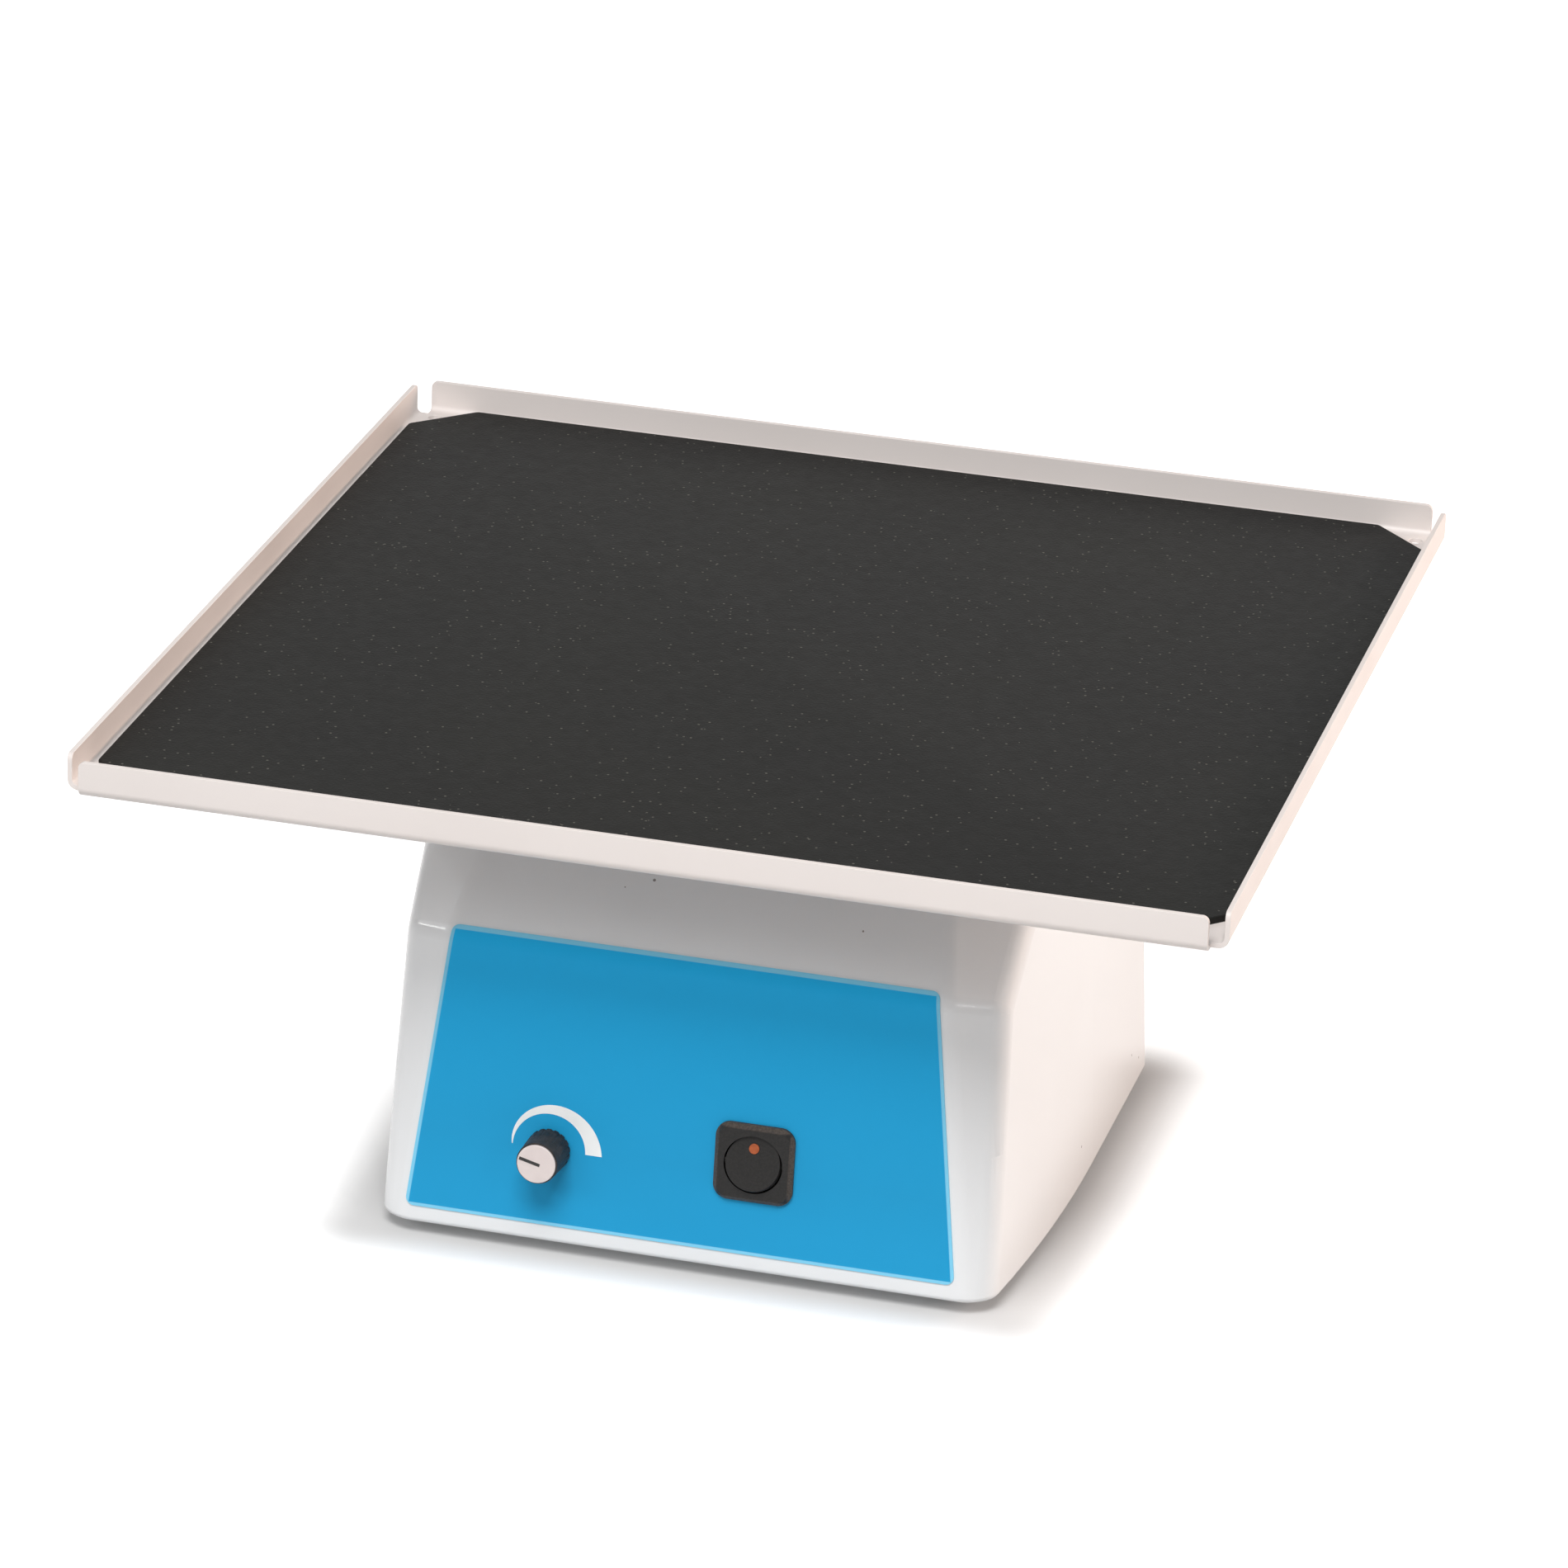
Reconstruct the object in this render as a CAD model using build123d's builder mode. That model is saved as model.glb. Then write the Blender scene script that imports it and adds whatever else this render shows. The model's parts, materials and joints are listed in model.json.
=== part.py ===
from build123d import *
from math import asin, cos, degrees, radians, sin, tan
import os

# Orbital shaker: one driven crank and three idler cranks carry a square tray round a small
# circle without turning it. Millimetres, +Z up, front towards -Y. The origin lies on the
# floor under the middle of the tray, which stands at the rear of its orbit.

# Orbit and crank places
ORBIT_R = 8.0
IDLER_R = 50.0
IDLER_ANGLES = {"right": -30.0, "rear": 90.0, "left": 210.0}

# Body: plan sizes are measured from the drive axis at foot height
BODY_H = 129.5
BODY_HALF_W = 100.0
BODY_NOSE_DRAW = 7.7
BODY_FRONT = 94.0
BODY_REAR = 90.0
BODY_WAIST = 9.0
BODY_WALL = 3.0
SIDE_DRAFT = 2.7
FACE_SIDE_GAP = 6.7
FACE_LEAN = 5.4
FACE_TAPER = 6.7
CORNER_TURN = 28.0
BROW_RISE = 90.5
BROW_LEAN = 38.7
BROW_TAPER = 13.8
BROW_TURN = 34.0
FACET_EDGE_R = 9.0
BEND_SEARCH = 8.0
TOP_EDGE_R = 5.0
FOOT_EDGE_R = 1.5

# Base plate, feet and the posts that the foot screws enter
BASE_T = 2.0
BASE_GAP = 0.4
FOOT_H = 4.5
FOOT_D = 20.0
FOOT_SLOPE = 18.0
FOOT_RECESS = 3.2
FOOT_SIDE_GAP = 23.0
FOOT_END_GAP = 19.0
POST_D = 10.0
POST_H = 22.0
POST_CAP = 2.5
POST_RIB_T = 3.0
FOOT_SCREW_L = 20.0
VENT_SLOTS = 5
VENT_SLOT = (34.0, 3.0)
VENT_PITCH = 8.0

# Drive plate and pillars
PLATE_T = 5.0
PLATE_SIDE_GAP = 24.0
PLATE_FRONT_GAP = 36.0
PLATE_REAR_GAP = 20.0
PLATE_CORNER_R = 12.0
PILLAR_D = 12.0
PILLAR_SIDE_INSET = 10.0
PILLAR_END_INSET = 14.0
PILLAR_SCREW_L = 14.0

# Bearing housing and idler bearing cups on the drive plate
HUB_FLANGE_D = 64.0
HUB_FLANGE_T = 5.0
HUB_D = 40.0
HUB_SPAN = 36.0
HUB_SCREW_R = 26.5
HUB_LIP = 1.0
HUB_SCREWS = 4
SEAT_SHOULDER = 2.5
CUP_FLANGE_D = 32.0
CUP_FLANGE_T = 3.0
CUP_D = 27.0
CUP_H = 12.0
CUP_LIP = 0.5

# Ball bearings: bore, outside diameter and width
SHAFT_BEARING = (12.0, 28.0, 8.0)
CRANK_BEARING = (10.0, 26.0, 8.0)
IDLER_BEARING = (8.0, 22.0, 7.0)
SHIELD_SINK = 0.4

# Cranks and their shaft
SHAFT_TAIL = 4.0
CRANK_T = 10.0
CRANK_CAP = 4.0
CRANK_HUB_R = 15.0
CRANK_DISC_R = 30.0
CRANK_DISC_T = 4.0
CRANK_TOP_GAP = 4.0
CRANK_RUN_GAP = 1.0
WEIGHT_INNER_R = 16.0
WEIGHT_SCREW_R = 23.0
WEIGHT_SCREW_TURN = 45.0
WEIGHT_SCREW_L = 9.0
WEIGHT_CORNER_R = 2.0
IDLER_WEB_R = 9.0
IDLER_WEB_T = 8.0
PIN_COLLAR = 1.5
PIN_CLEARANCE = 2.0
PIN_END_GAP = 2.0
PIN_TAIL = 2.5
PIN_CHAMFER = 0.8

# Carriage under the tray
BOSS_GAP = 4.0
BOSS_H = 12.0
BOSS_WALL = 4.0
BOSS_LIP = 1.0
CARRIAGE_RIM = 12.0
CARRIAGE_T = 5.0
CARRIAGE_CORNER_R = 18.0
WINDOW_R = 15.0
WINDOW_RADIUS = 50.0
WINDOW_ANGLES = (10.0, 170.0, 270.0)
RIB_T = 5.0
RIB_H = 8.0
TRAY_SCREW_PITCH = 136.0

# Tray and mat
TRAY_SIZE = 335.0
TRAY_SHEET = 1.5
TRAY_FLANGE = 11.0
TRAY_BEND_R = 1.7
TRAY_NOTCH = 5.0
TRAY_END_R = 2.0
TRAY_HOLE_INSET = 8.5
TRAY_HOLE_D = 4.2
MAT_GAP = 0.3
MAT_T = 2.0
MAT_CORNER = 17.5

# Belt drive and motor
BELT_Z = 65.0
BELT_D = 5.0
BELT_GAP = 0.3
DRIVEN_R = 36.0
DRIVER_R = 9.0
SHEAVE_LIP = 2.0
SHEAVE_W = 9.0
SHEAVE_WEB_T = 4.0
SHEAVE_RIM = 6.0
SHEAVE_HUB_R = 12.0
SHEAVE_HUB_H = 6.0
SHEAVE_HOLES = 6
SHEAVE_HOLE_D = 12.0
DRIVER_HUB_R = 7.0
DRIVER_HUB_H = 4.0
GRUB_L = 5.0
MOTOR_Y = 56.0
MOTOR_D = 52.0
MOTOR_H = 40.0
MOTOR_NOSE_R = 9.0
MOTOR_NOSE_H = 2.0
MOTOR_EDGE_R = 4.0
MOTOR_CAP_T = 6.0
MOTOR_SEAM = 0.6
MOTOR_SHAFT_D = 5.0
MOTOR_SHAFT_SINK = 22.0
MOTOR_SCREW_R = 18.0
MOTOR_SCREWS = 4
MOTOR_SCREW_L = 6.0
MOTOR_TAB_H = 4.0
MOTOR_DROP = 6.0
BRACKET_T = 2.5
BRACKET_HALF_W = 37.0
BRACKET_D = 48.0
BRACKET_HOLE_PITCH = 32.0
BRACKET_FOOT = 12.0
BRACKET_BEND_R = 3.0

# Screws: shank diameter, head diameter, head height
M4 = (4.0, 7.0, 2.8)
M3 = (3.0, 5.5, 2.0)
SOCKET = 0.42
SOCKET_DEPTH = 0.5
HEAD_ANGLE = 45.0
FIRST_TURN = 45.0

# Clearances: seated parts, running shafts, facing parts and screws
FIT = 0.02
RUN = 0.05
FACE_GAP = 0.2
SCREW_GAP = 0.1

# Front label and controls, measured from the middle of the face's foot up its slope
LABEL_T = 0.4
LABEL_LOW = 5.5
LABEL_HIGH = 90.0
LABEL_SIDE_GAP = 1.7
LABEL_SHIFT = -1.3
LABEL_CORNER_R = 2.5
KNOB_X = -41.5
KNOB_UP = 29.1
KNOB_D = 13.2
KNOB_SLOPE = 1.8
KNOB_H = 12.4
KNOB_EDGE_R = 0.35
KNOB_LIFT = 0.5
KNOB_FLUTES = 18
KNOB_FLUTE_R = 0.6
KNOB_BORE_H = 10.0
KNOB_RECESS_R = 5.0
KNOB_CAP_D = 11.6
KNOB_CAP_T = 1.1
KNOB_CAP_SINK = 0.6
POINTER_ANGLE = 76.0
POINTER_W = 0.9
POINTER_L = 6.4
POINTER_T = 0.4
POINTER_RISE = 0.1
POINTER_RIM = 0.5
POT_D = 16.5
POT_H = 10.0
POT_EDGE_R = 0.8
POT_TAB_W = 1.2
POT_TAB_T = 0.8
POT_TAB_PITCH = 5.0
POT_BUSH_D = 6.35
POT_BUSH_H = 3.2
POT_NUT_AF = 7.9
POT_NUT_T = 2.0
POT_SHAFT_D = 3.2
POT_SHAFT_SINK = 4.0
SWITCH_X = 20.5
SWITCH_UP = 34.3
SWITCH_BEZEL = 23.8
SWITCH_BEZEL_T = 2.2
SWITCH_BEZEL_R = 4.5
SWITCH_BEZEL_C = 1.2
SWITCH_BODY = 19.4
SWITCH_DEPTH = 20.0
SWITCH_HOLE_D = 17.6
SWITCH_HOLE_DEPTH = 12.0
ROCKER_R = 8.5
ROCKER_HALF_T = 2.5
ROCKER_TILT = 14.0
ROCKER_SINK = 2.0
TRUNNION_D = 2.4
TRUNNION_L = 9.3
LENS_D = 3.0
LENS_UP = 4.4
LENS_DEPTH = 1.5
LENS_RISE = 0.3
BLADE = (6.3, 0.8, 8.0)
BLADE_PITCH = 10.0

# Mains inlet, measured from the middle of the rear wall's foot up its slope
INLET_X = 54.0
INLET_UP = 30.0
INLET_FLANGE = (50.0, 23.5, 2.5)
INLET_FLANGE_R = 5.0
INLET_BODY = (28.5, 20.5, 19.0)
INLET_SOCKET = (24.4, 16.8, 15.5)
INLET_SOCKET_CUT = 4.0
INLET_SCREW_PITCH = 40.0
INLET_SCREW_L = 9.0
INLET_PINS = ((-7.0, -1.5), (7.0, -1.5), (0.0, 2.5))
INLET_PIN = (2.0, 4.0, 11.5)
INLET_TAIL = 7.0

# Electronics on the base plate, placed from the drive axis
BOARD = (48.0, 44.0, 1.6)
BOARD_X = -34.0
BOARD_Y = -33.0
BOARD_HOLE_INSET = 4.0
BOARD_CORNER_R = 2.0
TRANSISTOR = (10.0, 4.6, 15.0)
TERMINAL = (15.0, 9.0, 11.0)
BOARD_LIFT = 8.0
STANDOFF_D = 6.0
CAPACITOR_D = 12.5
CAPACITOR_H = 20.0
SINK_FINS = 7
SINK_FIN_T = 1.2
SINK_FIN_PITCH = 3.6
SINK_DEPTH = 12.0
SINK_H = 18.0
SINK_BASE_T = 3.0
CORE = (42.0, 18.0, 35.0)
CORE_LEG = 7.0
CORE_X = 27.0
CORE_Y = -33.0
COIL_DEPTH = 34.0
COIL_GAP = 0.3
STRAP_T = 1.0
STRAP_W = 14.0
STRAP_FOOT = 9.0
STRAP_BEND_R = 0.5

# Sizes, heights, planes and places that follow from the sizes above
BODY_NOSE_HALF_W = BODY_HALF_W - BODY_NOSE_DRAW
FACE_HALF_W = BODY_NOSE_HALF_W - FACE_SIDE_GAP
CARRIAGE_W = TRAY_SCREW_PITCH + 2 * CARRIAGE_RIM
TRAY_HOLE_PITCH = TRAY_SIZE - 2 * TRAY_HOLE_INSET
AXIS_Y = -ORBIT_R
BODY_TOP = FOOT_H + BODY_H
BASE_TOP = FOOT_H + BASE_T
CRANK_TOP = BODY_TOP - BODY_WALL - CRANK_TOP_GAP
CRANK_Z = CRANK_TOP - CRANK_T
PLATE_TOP = CRANK_Z - CRANK_RUN_GAP - HUB_FLANGE_T
PLATE_Z = PLATE_TOP - PLATE_T
HUB_TOP = PLATE_TOP + HUB_FLANGE_T
HUB_Z = HUB_TOP - HUB_SPAN
CUP_TOP = PLATE_TOP + CUP_FLANGE_T
CUP_BEARING_Z = CUP_TOP - CUP_LIP - IDLER_BEARING[2]
BOSS_Z = BODY_TOP + BOSS_GAP
BOSS_BEARING_Z = BOSS_Z + BOSS_LIP
CARRIAGE_Z = BOSS_Z + BOSS_H
PIN_TOP = CARRIAGE_Z - PIN_END_GAP
TRAY_Z = CARRIAGE_Z + CARRIAGE_T
MAT_Z = TRAY_Z + TRAY_SHEET
SHEAVE_Z = BELT_Z - SHEAVE_W / 2
BRACKET_Z = SHEAVE_Z - MOTOR_DROP - BRACKET_T
MOTOR_Z = BRACKET_Z - MOTOR_H
MOTOR_AXIS = (0, AXIS_Y + MOTOR_Y)
AXIS = (0, AXIS_Y)
PIN = (0, AXIS_Y + ORBIT_R)
IDLERS = {
    side: (IDLER_R * cos(radians(turn)), AXIS_Y + IDLER_R * sin(radians(turn)))
    for side, turn in IDLER_ANGLES.items()
}
IDLER_PINS = [(x, y + ORBIT_R) for x, y in IDLERS.values()]
PLATE_HALF_W = BODY_HALF_W - PLATE_SIDE_GAP
PLATE_FRONT_Y = AXIS_Y - BODY_FRONT + PLATE_FRONT_GAP
PLATE_REAR_Y = AXIS_Y + BODY_REAR - PLATE_REAR_GAP
PILLARS = [
    (side * (PLATE_HALF_W - PILLAR_SIDE_INSET), y)
    for side in (-1, 1)
    for y in (PLATE_FRONT_Y + PILLAR_END_INSET, PLATE_REAR_Y - PILLAR_END_INSET)
]
FEET = [
    (side * (BODY_HALF_W - FOOT_SIDE_GAP), y)
    for side in (-1, 1)
    for y in (AXIS_Y - BODY_FRONT + FOOT_END_GAP, AXIS_Y + BODY_REAR - FOOT_END_GAP)
]
BOARD_AT = (BOARD_X, AXIS_Y + BOARD_Y)
BOARD_Z = BASE_TOP + BOARD_LIFT
BOARD_TOP = BOARD_Z + BOARD[2]
BOARD_HOLES = [
    (BOARD_AT[0] + i * (BOARD[0] / 2 - BOARD_HOLE_INSET), BOARD_AT[1] + j * (BOARD[1] / 2 - BOARD_HOLE_INSET))
    for i in (-1, 1)
    for j in (-1, 1)
]
CORE_AT = (CORE_X, AXIS_Y + CORE_Y)
STRAP_SCREWS = [(CORE_X + i * (CORE[0] / 2 + STRAP_T + STRAP_FOOT / 2), CORE_AT[1]) for i in (-1, 1)]
TRAY_SCREWS = [(i * TRAY_SCREW_PITCH / 2, j * TRAY_SCREW_PITCH / 2) for i in (-1, 1) for j in (-1, 1)]
BRACKET_SCREWS = [
    (i * (BRACKET_HALF_W + (BRACKET_BEND_R + BRACKET_FOOT) / 2), MOTOR_AXIS[1] + j * BRACKET_HOLE_PITCH / 2)
    for i in (-1, 1)
    for j in (-1, 1)
]
FACE = Plane((0, AXIS_Y - BODY_FRONT, FOOT_H), x_dir=(1, 0, 0), z_dir=(0, -1, tan(radians(FACE_LEAN))))
REAR = Plane((0, AXIS_Y + BODY_REAR, FOOT_H), x_dir=(-1, 0, 0), z_dir=(0, 1, tan(radians(SIDE_DRAFT))))


def plane_on(wall, across, up, out=0.0):
    """Plane parallel to a wall, standing on the given point of it."""
    origin = wall.from_local_coords(Vector(across, up, out))
    return Plane(origin, x_dir=wall.x_dir, z_dir=wall.z_dir)


KNOB_PLANE = plane_on(FACE, KNOB_X, KNOB_UP)
SWITCH_PLANE = plane_on(FACE, SWITCH_X, SWITCH_UP)
SWITCH_AXIS = Axis(SWITCH_PLANE.origin, SWITCH_PLANE.z_dir)
INLET_PLANE = plane_on(REAR, INLET_X, INLET_UP)
UNDERSIDE = Plane((0, 0, FOOT_H), x_dir=(1, 0, 0), z_dir=(0, 0, -1))
UNDER_PILLARS = [(x, -y) for x, y in PILLARS]


def corner_facet(side, half_width, y, z, lean, taper, turn):
    """Plane of a corner facet: it holds the leaning edge of the front and turns back from it."""
    across = cos(radians(turn))
    back = sin(radians(turn))
    rise = across * tan(radians(lean)) + back * tan(radians(taper))
    return Plane((side * half_width, y, z), z_dir=(side * back, -across, rise))


def front_facets():
    """Planes of the face, of the brow that breaks back above it and of their corner facets."""
    face_y = AXIS_Y - BODY_FRONT
    brow_z = FOOT_H + BROW_RISE
    brow_y = face_y + BROW_RISE * tan(radians(FACE_LEAN))
    brow_half = FACE_HALF_W - BROW_RISE * tan(radians(FACE_TAPER))
    planes = [FACE, Plane((0, brow_y, brow_z), z_dir=(0, -1, tan(radians(BROW_LEAN))))]
    for side in (-1, 1):
        planes.append(corner_facet(side, FACE_HALF_W, face_y, FOOT_H, FACE_LEAN, FACE_TAPER, CORNER_TURN))
        planes.append(corner_facet(side, brow_half, brow_y, brow_z, BROW_LEAN, BROW_TAPER, BROW_TURN))
    return planes


def body_block(inset, height):
    """Solid form of the body, up to a height above its foot, with every wall moved in."""
    half = BODY_HALF_W - inset
    nose_half = BODY_NOSE_HALF_W - inset
    waist_y = AXIS_Y + BODY_WAIST
    rear_y = AXIS_Y + BODY_REAR - inset
    nose_y = AXIS_Y - BODY_FRONT
    with BuildPart() as block:
        with BuildSketch(Plane.XY.offset(FOOT_H)):
            with BuildLine():
                Polyline((half, waist_y), (half, rear_y), (-half, rear_y), (-half, waist_y))
                right = TangentArc((half, waist_y), (nose_half, nose_y), tangent=(0, -1))
                left = TangentArc((-half, waist_y), (-nose_half, nose_y), tangent=(0, -1))
                Line(right @ 1, left @ 1)
            make_face()
        extrude(amount=height, taper=SIDE_DRAFT)
        for plane in front_facets():
            split(bisect_by=plane.offset(-inset), keep=Keep.BOTTOM)
        fillet(block.edges().filter_by(is_facet_edge), FACET_EDGE_R - inset)
    return block


def is_facet_edge(edge):
    """True for the block's upright edges and for the break between its face and brow."""
    upright = abs((edge % 0.5).Z) > 0.4
    middle = edge.center()
    seam = abs(middle.Y - AXIS_Y - BODY_WAIST) < BEND_SEARCH
    level = abs(middle.Z - FOOT_H - BROW_RISE) < 2 * BEND_SEARCH
    brow = level and middle.Y < AXIS_Y - BODY_FRONT / 2
    return (upright and not seam) or brow


def ball_bearings(points, heights, size):
    """Shielded ball bearings on the given axes and heights, their shields set in a little."""
    bore, outside, width = size
    race = (outside - bore) / 8
    with BuildPart() as bearings:
        for z in heights:
            with BuildSketch(Plane.XY.offset(z)):
                with Locations(*points):
                    Circle(outside / 2 - FIT)
                    Circle(bore / 2 + RUN, mode=Mode.SUBTRACT)
            extrude(amount=width)
            for level, depth in ((z, SHIELD_SINK), (z + width, -SHIELD_SINK)):
                with BuildSketch(Plane.XY.offset(level)):
                    with Locations(*points):
                        Circle(outside / 2 - race)
                        Circle(bore / 2 + race, mode=Mode.SUBTRACT)
                extrude(amount=depth, mode=Mode.SUBTRACT)
    return bearings


def cap_screws(plane, points, size, length, up=1):
    """Socket cap screws: heads stand on the plane, or hang from it where up is -1."""
    shank, head, height = size
    with BuildPart() as screws:
        with BuildSketch(plane):
            with Locations(*points):
                Circle(head / 2)
        extrude(amount=up * height)
        with BuildSketch(plane.offset(up * height)):
            with Locations(*points):
                RegularPolygon(SOCKET * shank, 6)
        extrude(amount=-up * SOCKET_DEPTH * height, mode=Mode.SUBTRACT)
        with BuildSketch(plane):
            with Locations(*points):
                Circle(shank / 2)
        extrude(amount=-up * length)
    return screws


def flush_screws(plane, points, size, length):
    """Countersunk screws whose heads end flush with the plane."""
    shank, head, height = size
    with BuildPart() as screws:
        with BuildSketch(plane):
            with Locations(*points):
                Circle(head / 2)
        extrude(amount=-(head - shank) / 2, taper=HEAD_ANGLE)
        with BuildSketch(plane.offset(-(head - shank) / 2)):
            with Locations(*points):
                Circle(shank / 2)
        extrude(amount=(head - shank) / 2 - length)
        with BuildSketch(plane):
            with Locations(*points):
                RegularPolygon(SOCKET * shank, 6)
        extrude(amount=-SOCKET_DEPTH * height, mode=Mode.SUBTRACT)
    return screws


def drill(plane, points, radius, depth):
    """Cut round holes down from the plane into the part being made."""
    with BuildSketch(plane) as holes:
        with Locations(*points):
            Circle(radius)
    extrude(holes.sketch, amount=-depth, mode=Mode.SUBTRACT)


def countersink(plane, points, size, depth):
    """Cut countersunk screw holes down from the plane into the part being made."""
    shank, head, _ = size
    drill(plane, points, shank / 2 + SCREW_GAP, depth)
    with BuildSketch(plane) as heads:
        with Locations(*points):
            Circle(head / 2 + SCREW_GAP)
    extrude(heads.sketch, amount=-(head - shank) / 2, taper=HEAD_ANGLE, mode=Mode.SUBTRACT)


def boss(points, radius, z, height, mode=Mode.ADD):
    """Round bosses, or bores, standing on the given height."""
    with BuildSketch(Plane.XY.offset(z)) as disc:
        with Locations(*points):
            Circle(radius)
    extrude(disc.sketch, amount=height, mode=mode)


def cut_groove(point, pitch_radius):
    """Turn the open belt groove into the pulley being made."""
    x, y = point
    side = Plane((x, y, BELT_Z), x_dir=(1, 0, 0), z_dir=(0, -1, 0))
    with BuildSketch(side) as groove:
        with Locations((pitch_radius, 0)):
            Circle(BELT_D / 2 + BELT_GAP)
            Rectangle(2 * SHEAVE_LIP, BELT_D + 2 * BELT_GAP, align=(Align.MIN, Align.CENTER))
    revolve(groove.sketch, axis=Axis((x, y, 0), (0, 0, 1)), mode=Mode.SUBTRACT)


def bent_strip(points, thickness, bend_radius, plane, width):
    """Sheet strip, bent along a centre line in the plane and as wide as given both ways in all."""
    with BuildPart() as strip:
        with BuildSketch(plane):
            with BuildLine():
                FilletPolyline(*points, radius=bend_radius + thickness / 2)
            trace(line_width=thickness)
        extrude(amount=width / 2, both=True)
    return strip


# Tray: one sheet folded up on four sides, with its corners notched open
TRAY_INNER = TRAY_SIZE - 2 * TRAY_SHEET
with BuildPart() as tray_well:
    with BuildSketch(Plane.XY.offset(MAT_Z)):
        Rectangle(TRAY_INNER, TRAY_INNER)
    extrude(amount=TRAY_FLANGE)
    fillet(tray_well.faces().sort_by(Axis.Z)[0].edges(), TRAY_BEND_R)

with BuildPart() as tray:
    with BuildSketch(Plane.XY.offset(TRAY_Z)):
        Rectangle(TRAY_SIZE, TRAY_SIZE)
    extrude(amount=TRAY_FLANGE)
    fillet(tray.faces().sort_by(Axis.Z)[0].edges(), TRAY_BEND_R + TRAY_SHEET)
    add(tray_well.part, mode=Mode.SUBTRACT)
    with BuildSketch(Plane.XY.offset(TRAY_Z)):
        with GridLocations(TRAY_SIZE, TRAY_SIZE, 2, 2):
            Rectangle(2 * TRAY_NOTCH, 2 * TRAY_NOTCH)
    extrude(amount=TRAY_FLANGE, mode=Mode.SUBTRACT)
    flange_ends = tray.faces().sort_by(Axis.Z)[-4:].edges()
    fillet(flange_ends.filter_by(lambda edge: edge.length < TRAY_END_R), TRAY_END_R)
    with BuildSketch(Plane.XY.offset(MAT_Z)):
        with GridLocations(TRAY_HOLE_PITCH, TRAY_HOLE_PITCH, 2, 2):
            Circle(TRAY_HOLE_D / 2)
    extrude(amount=-TRAY_SHEET, mode=Mode.SUBTRACT)
    countersink(Plane.XY.offset(MAT_Z), TRAY_SCREWS, M4, TRAY_SHEET)

# Mat: it lies inside the bends of the tray and leaves the corner holes open
MAT_SIZE = TRAY_INNER - 2 * (TRAY_BEND_R + MAT_GAP)
with BuildPart() as mat:
    with BuildSketch(Plane.XY.offset(MAT_Z)):
        Rectangle(MAT_SIZE, MAT_SIZE)
    extrude(amount=MAT_T)
    chamfer(mat.edges().filter_by(Axis.Z), MAT_CORNER)

# Carriage: a ribbed plate with the crank bearing's boss in the middle and three idler bosses
CRANK_SEAT_R = CRANK_BEARING[1] / 2
IDLER_SEAT_R = IDLER_BEARING[1] / 2
with BuildPart() as carriage:
    with BuildSketch(Plane.XY.offset(CARRIAGE_Z)):
        RectangleRounded(CARRIAGE_W, CARRIAGE_W, CARRIAGE_CORNER_R)
        for angle in WINDOW_ANGLES:
            with PolarLocations(WINDOW_RADIUS, 1, start_angle=angle):
                Circle(WINDOW_R, mode=Mode.SUBTRACT)
    extrude(amount=CARRIAGE_T)
    for end in IDLER_PINS + TRAY_SCREWS:
        with BuildSketch(Plane.XY.offset(CARRIAGE_Z - RIB_H)):
            with BuildLine():
                Line(PIN, end)
            trace(line_width=RIB_T)
            with Locations(end):
                Circle(RIB_T)
        extrude(amount=RIB_H)
    boss([PIN], CRANK_SEAT_R + BOSS_WALL, BOSS_Z, BOSS_H)
    boss(IDLER_PINS, IDLER_SEAT_R + BOSS_WALL, BOSS_Z, BOSS_H)
    boss([PIN], CRANK_SEAT_R, BOSS_Z, BOSS_LIP + CRANK_BEARING[2], Mode.SUBTRACT)
    boss([PIN], CRANK_SEAT_R - SEAT_SHOULDER, BOSS_Z, BOSS_H, Mode.SUBTRACT)
    boss(IDLER_PINS, IDLER_SEAT_R, BOSS_Z, BOSS_LIP + IDLER_BEARING[2], Mode.SUBTRACT)
    boss(IDLER_PINS, IDLER_SEAT_R - SEAT_SHOULDER, BOSS_Z, BOSS_H, Mode.SUBTRACT)
    drill(Plane.XY.offset(TRAY_Z), TRAY_SCREWS, M4[0] / 2 + FIT, CARRIAGE_T + RIB_H)

carriage_bearing = ball_bearings([PIN], [BOSS_BEARING_Z], CRANK_BEARING)
carriage_idler_bearings = ball_bearings(IDLER_PINS, [BOSS_BEARING_Z], IDLER_BEARING)
tray_screws = flush_screws(Plane.XY.offset(MAT_Z), TRAY_SCREWS, M4, TRAY_SHEET + CARRIAGE_T + RIB_H)

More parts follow.
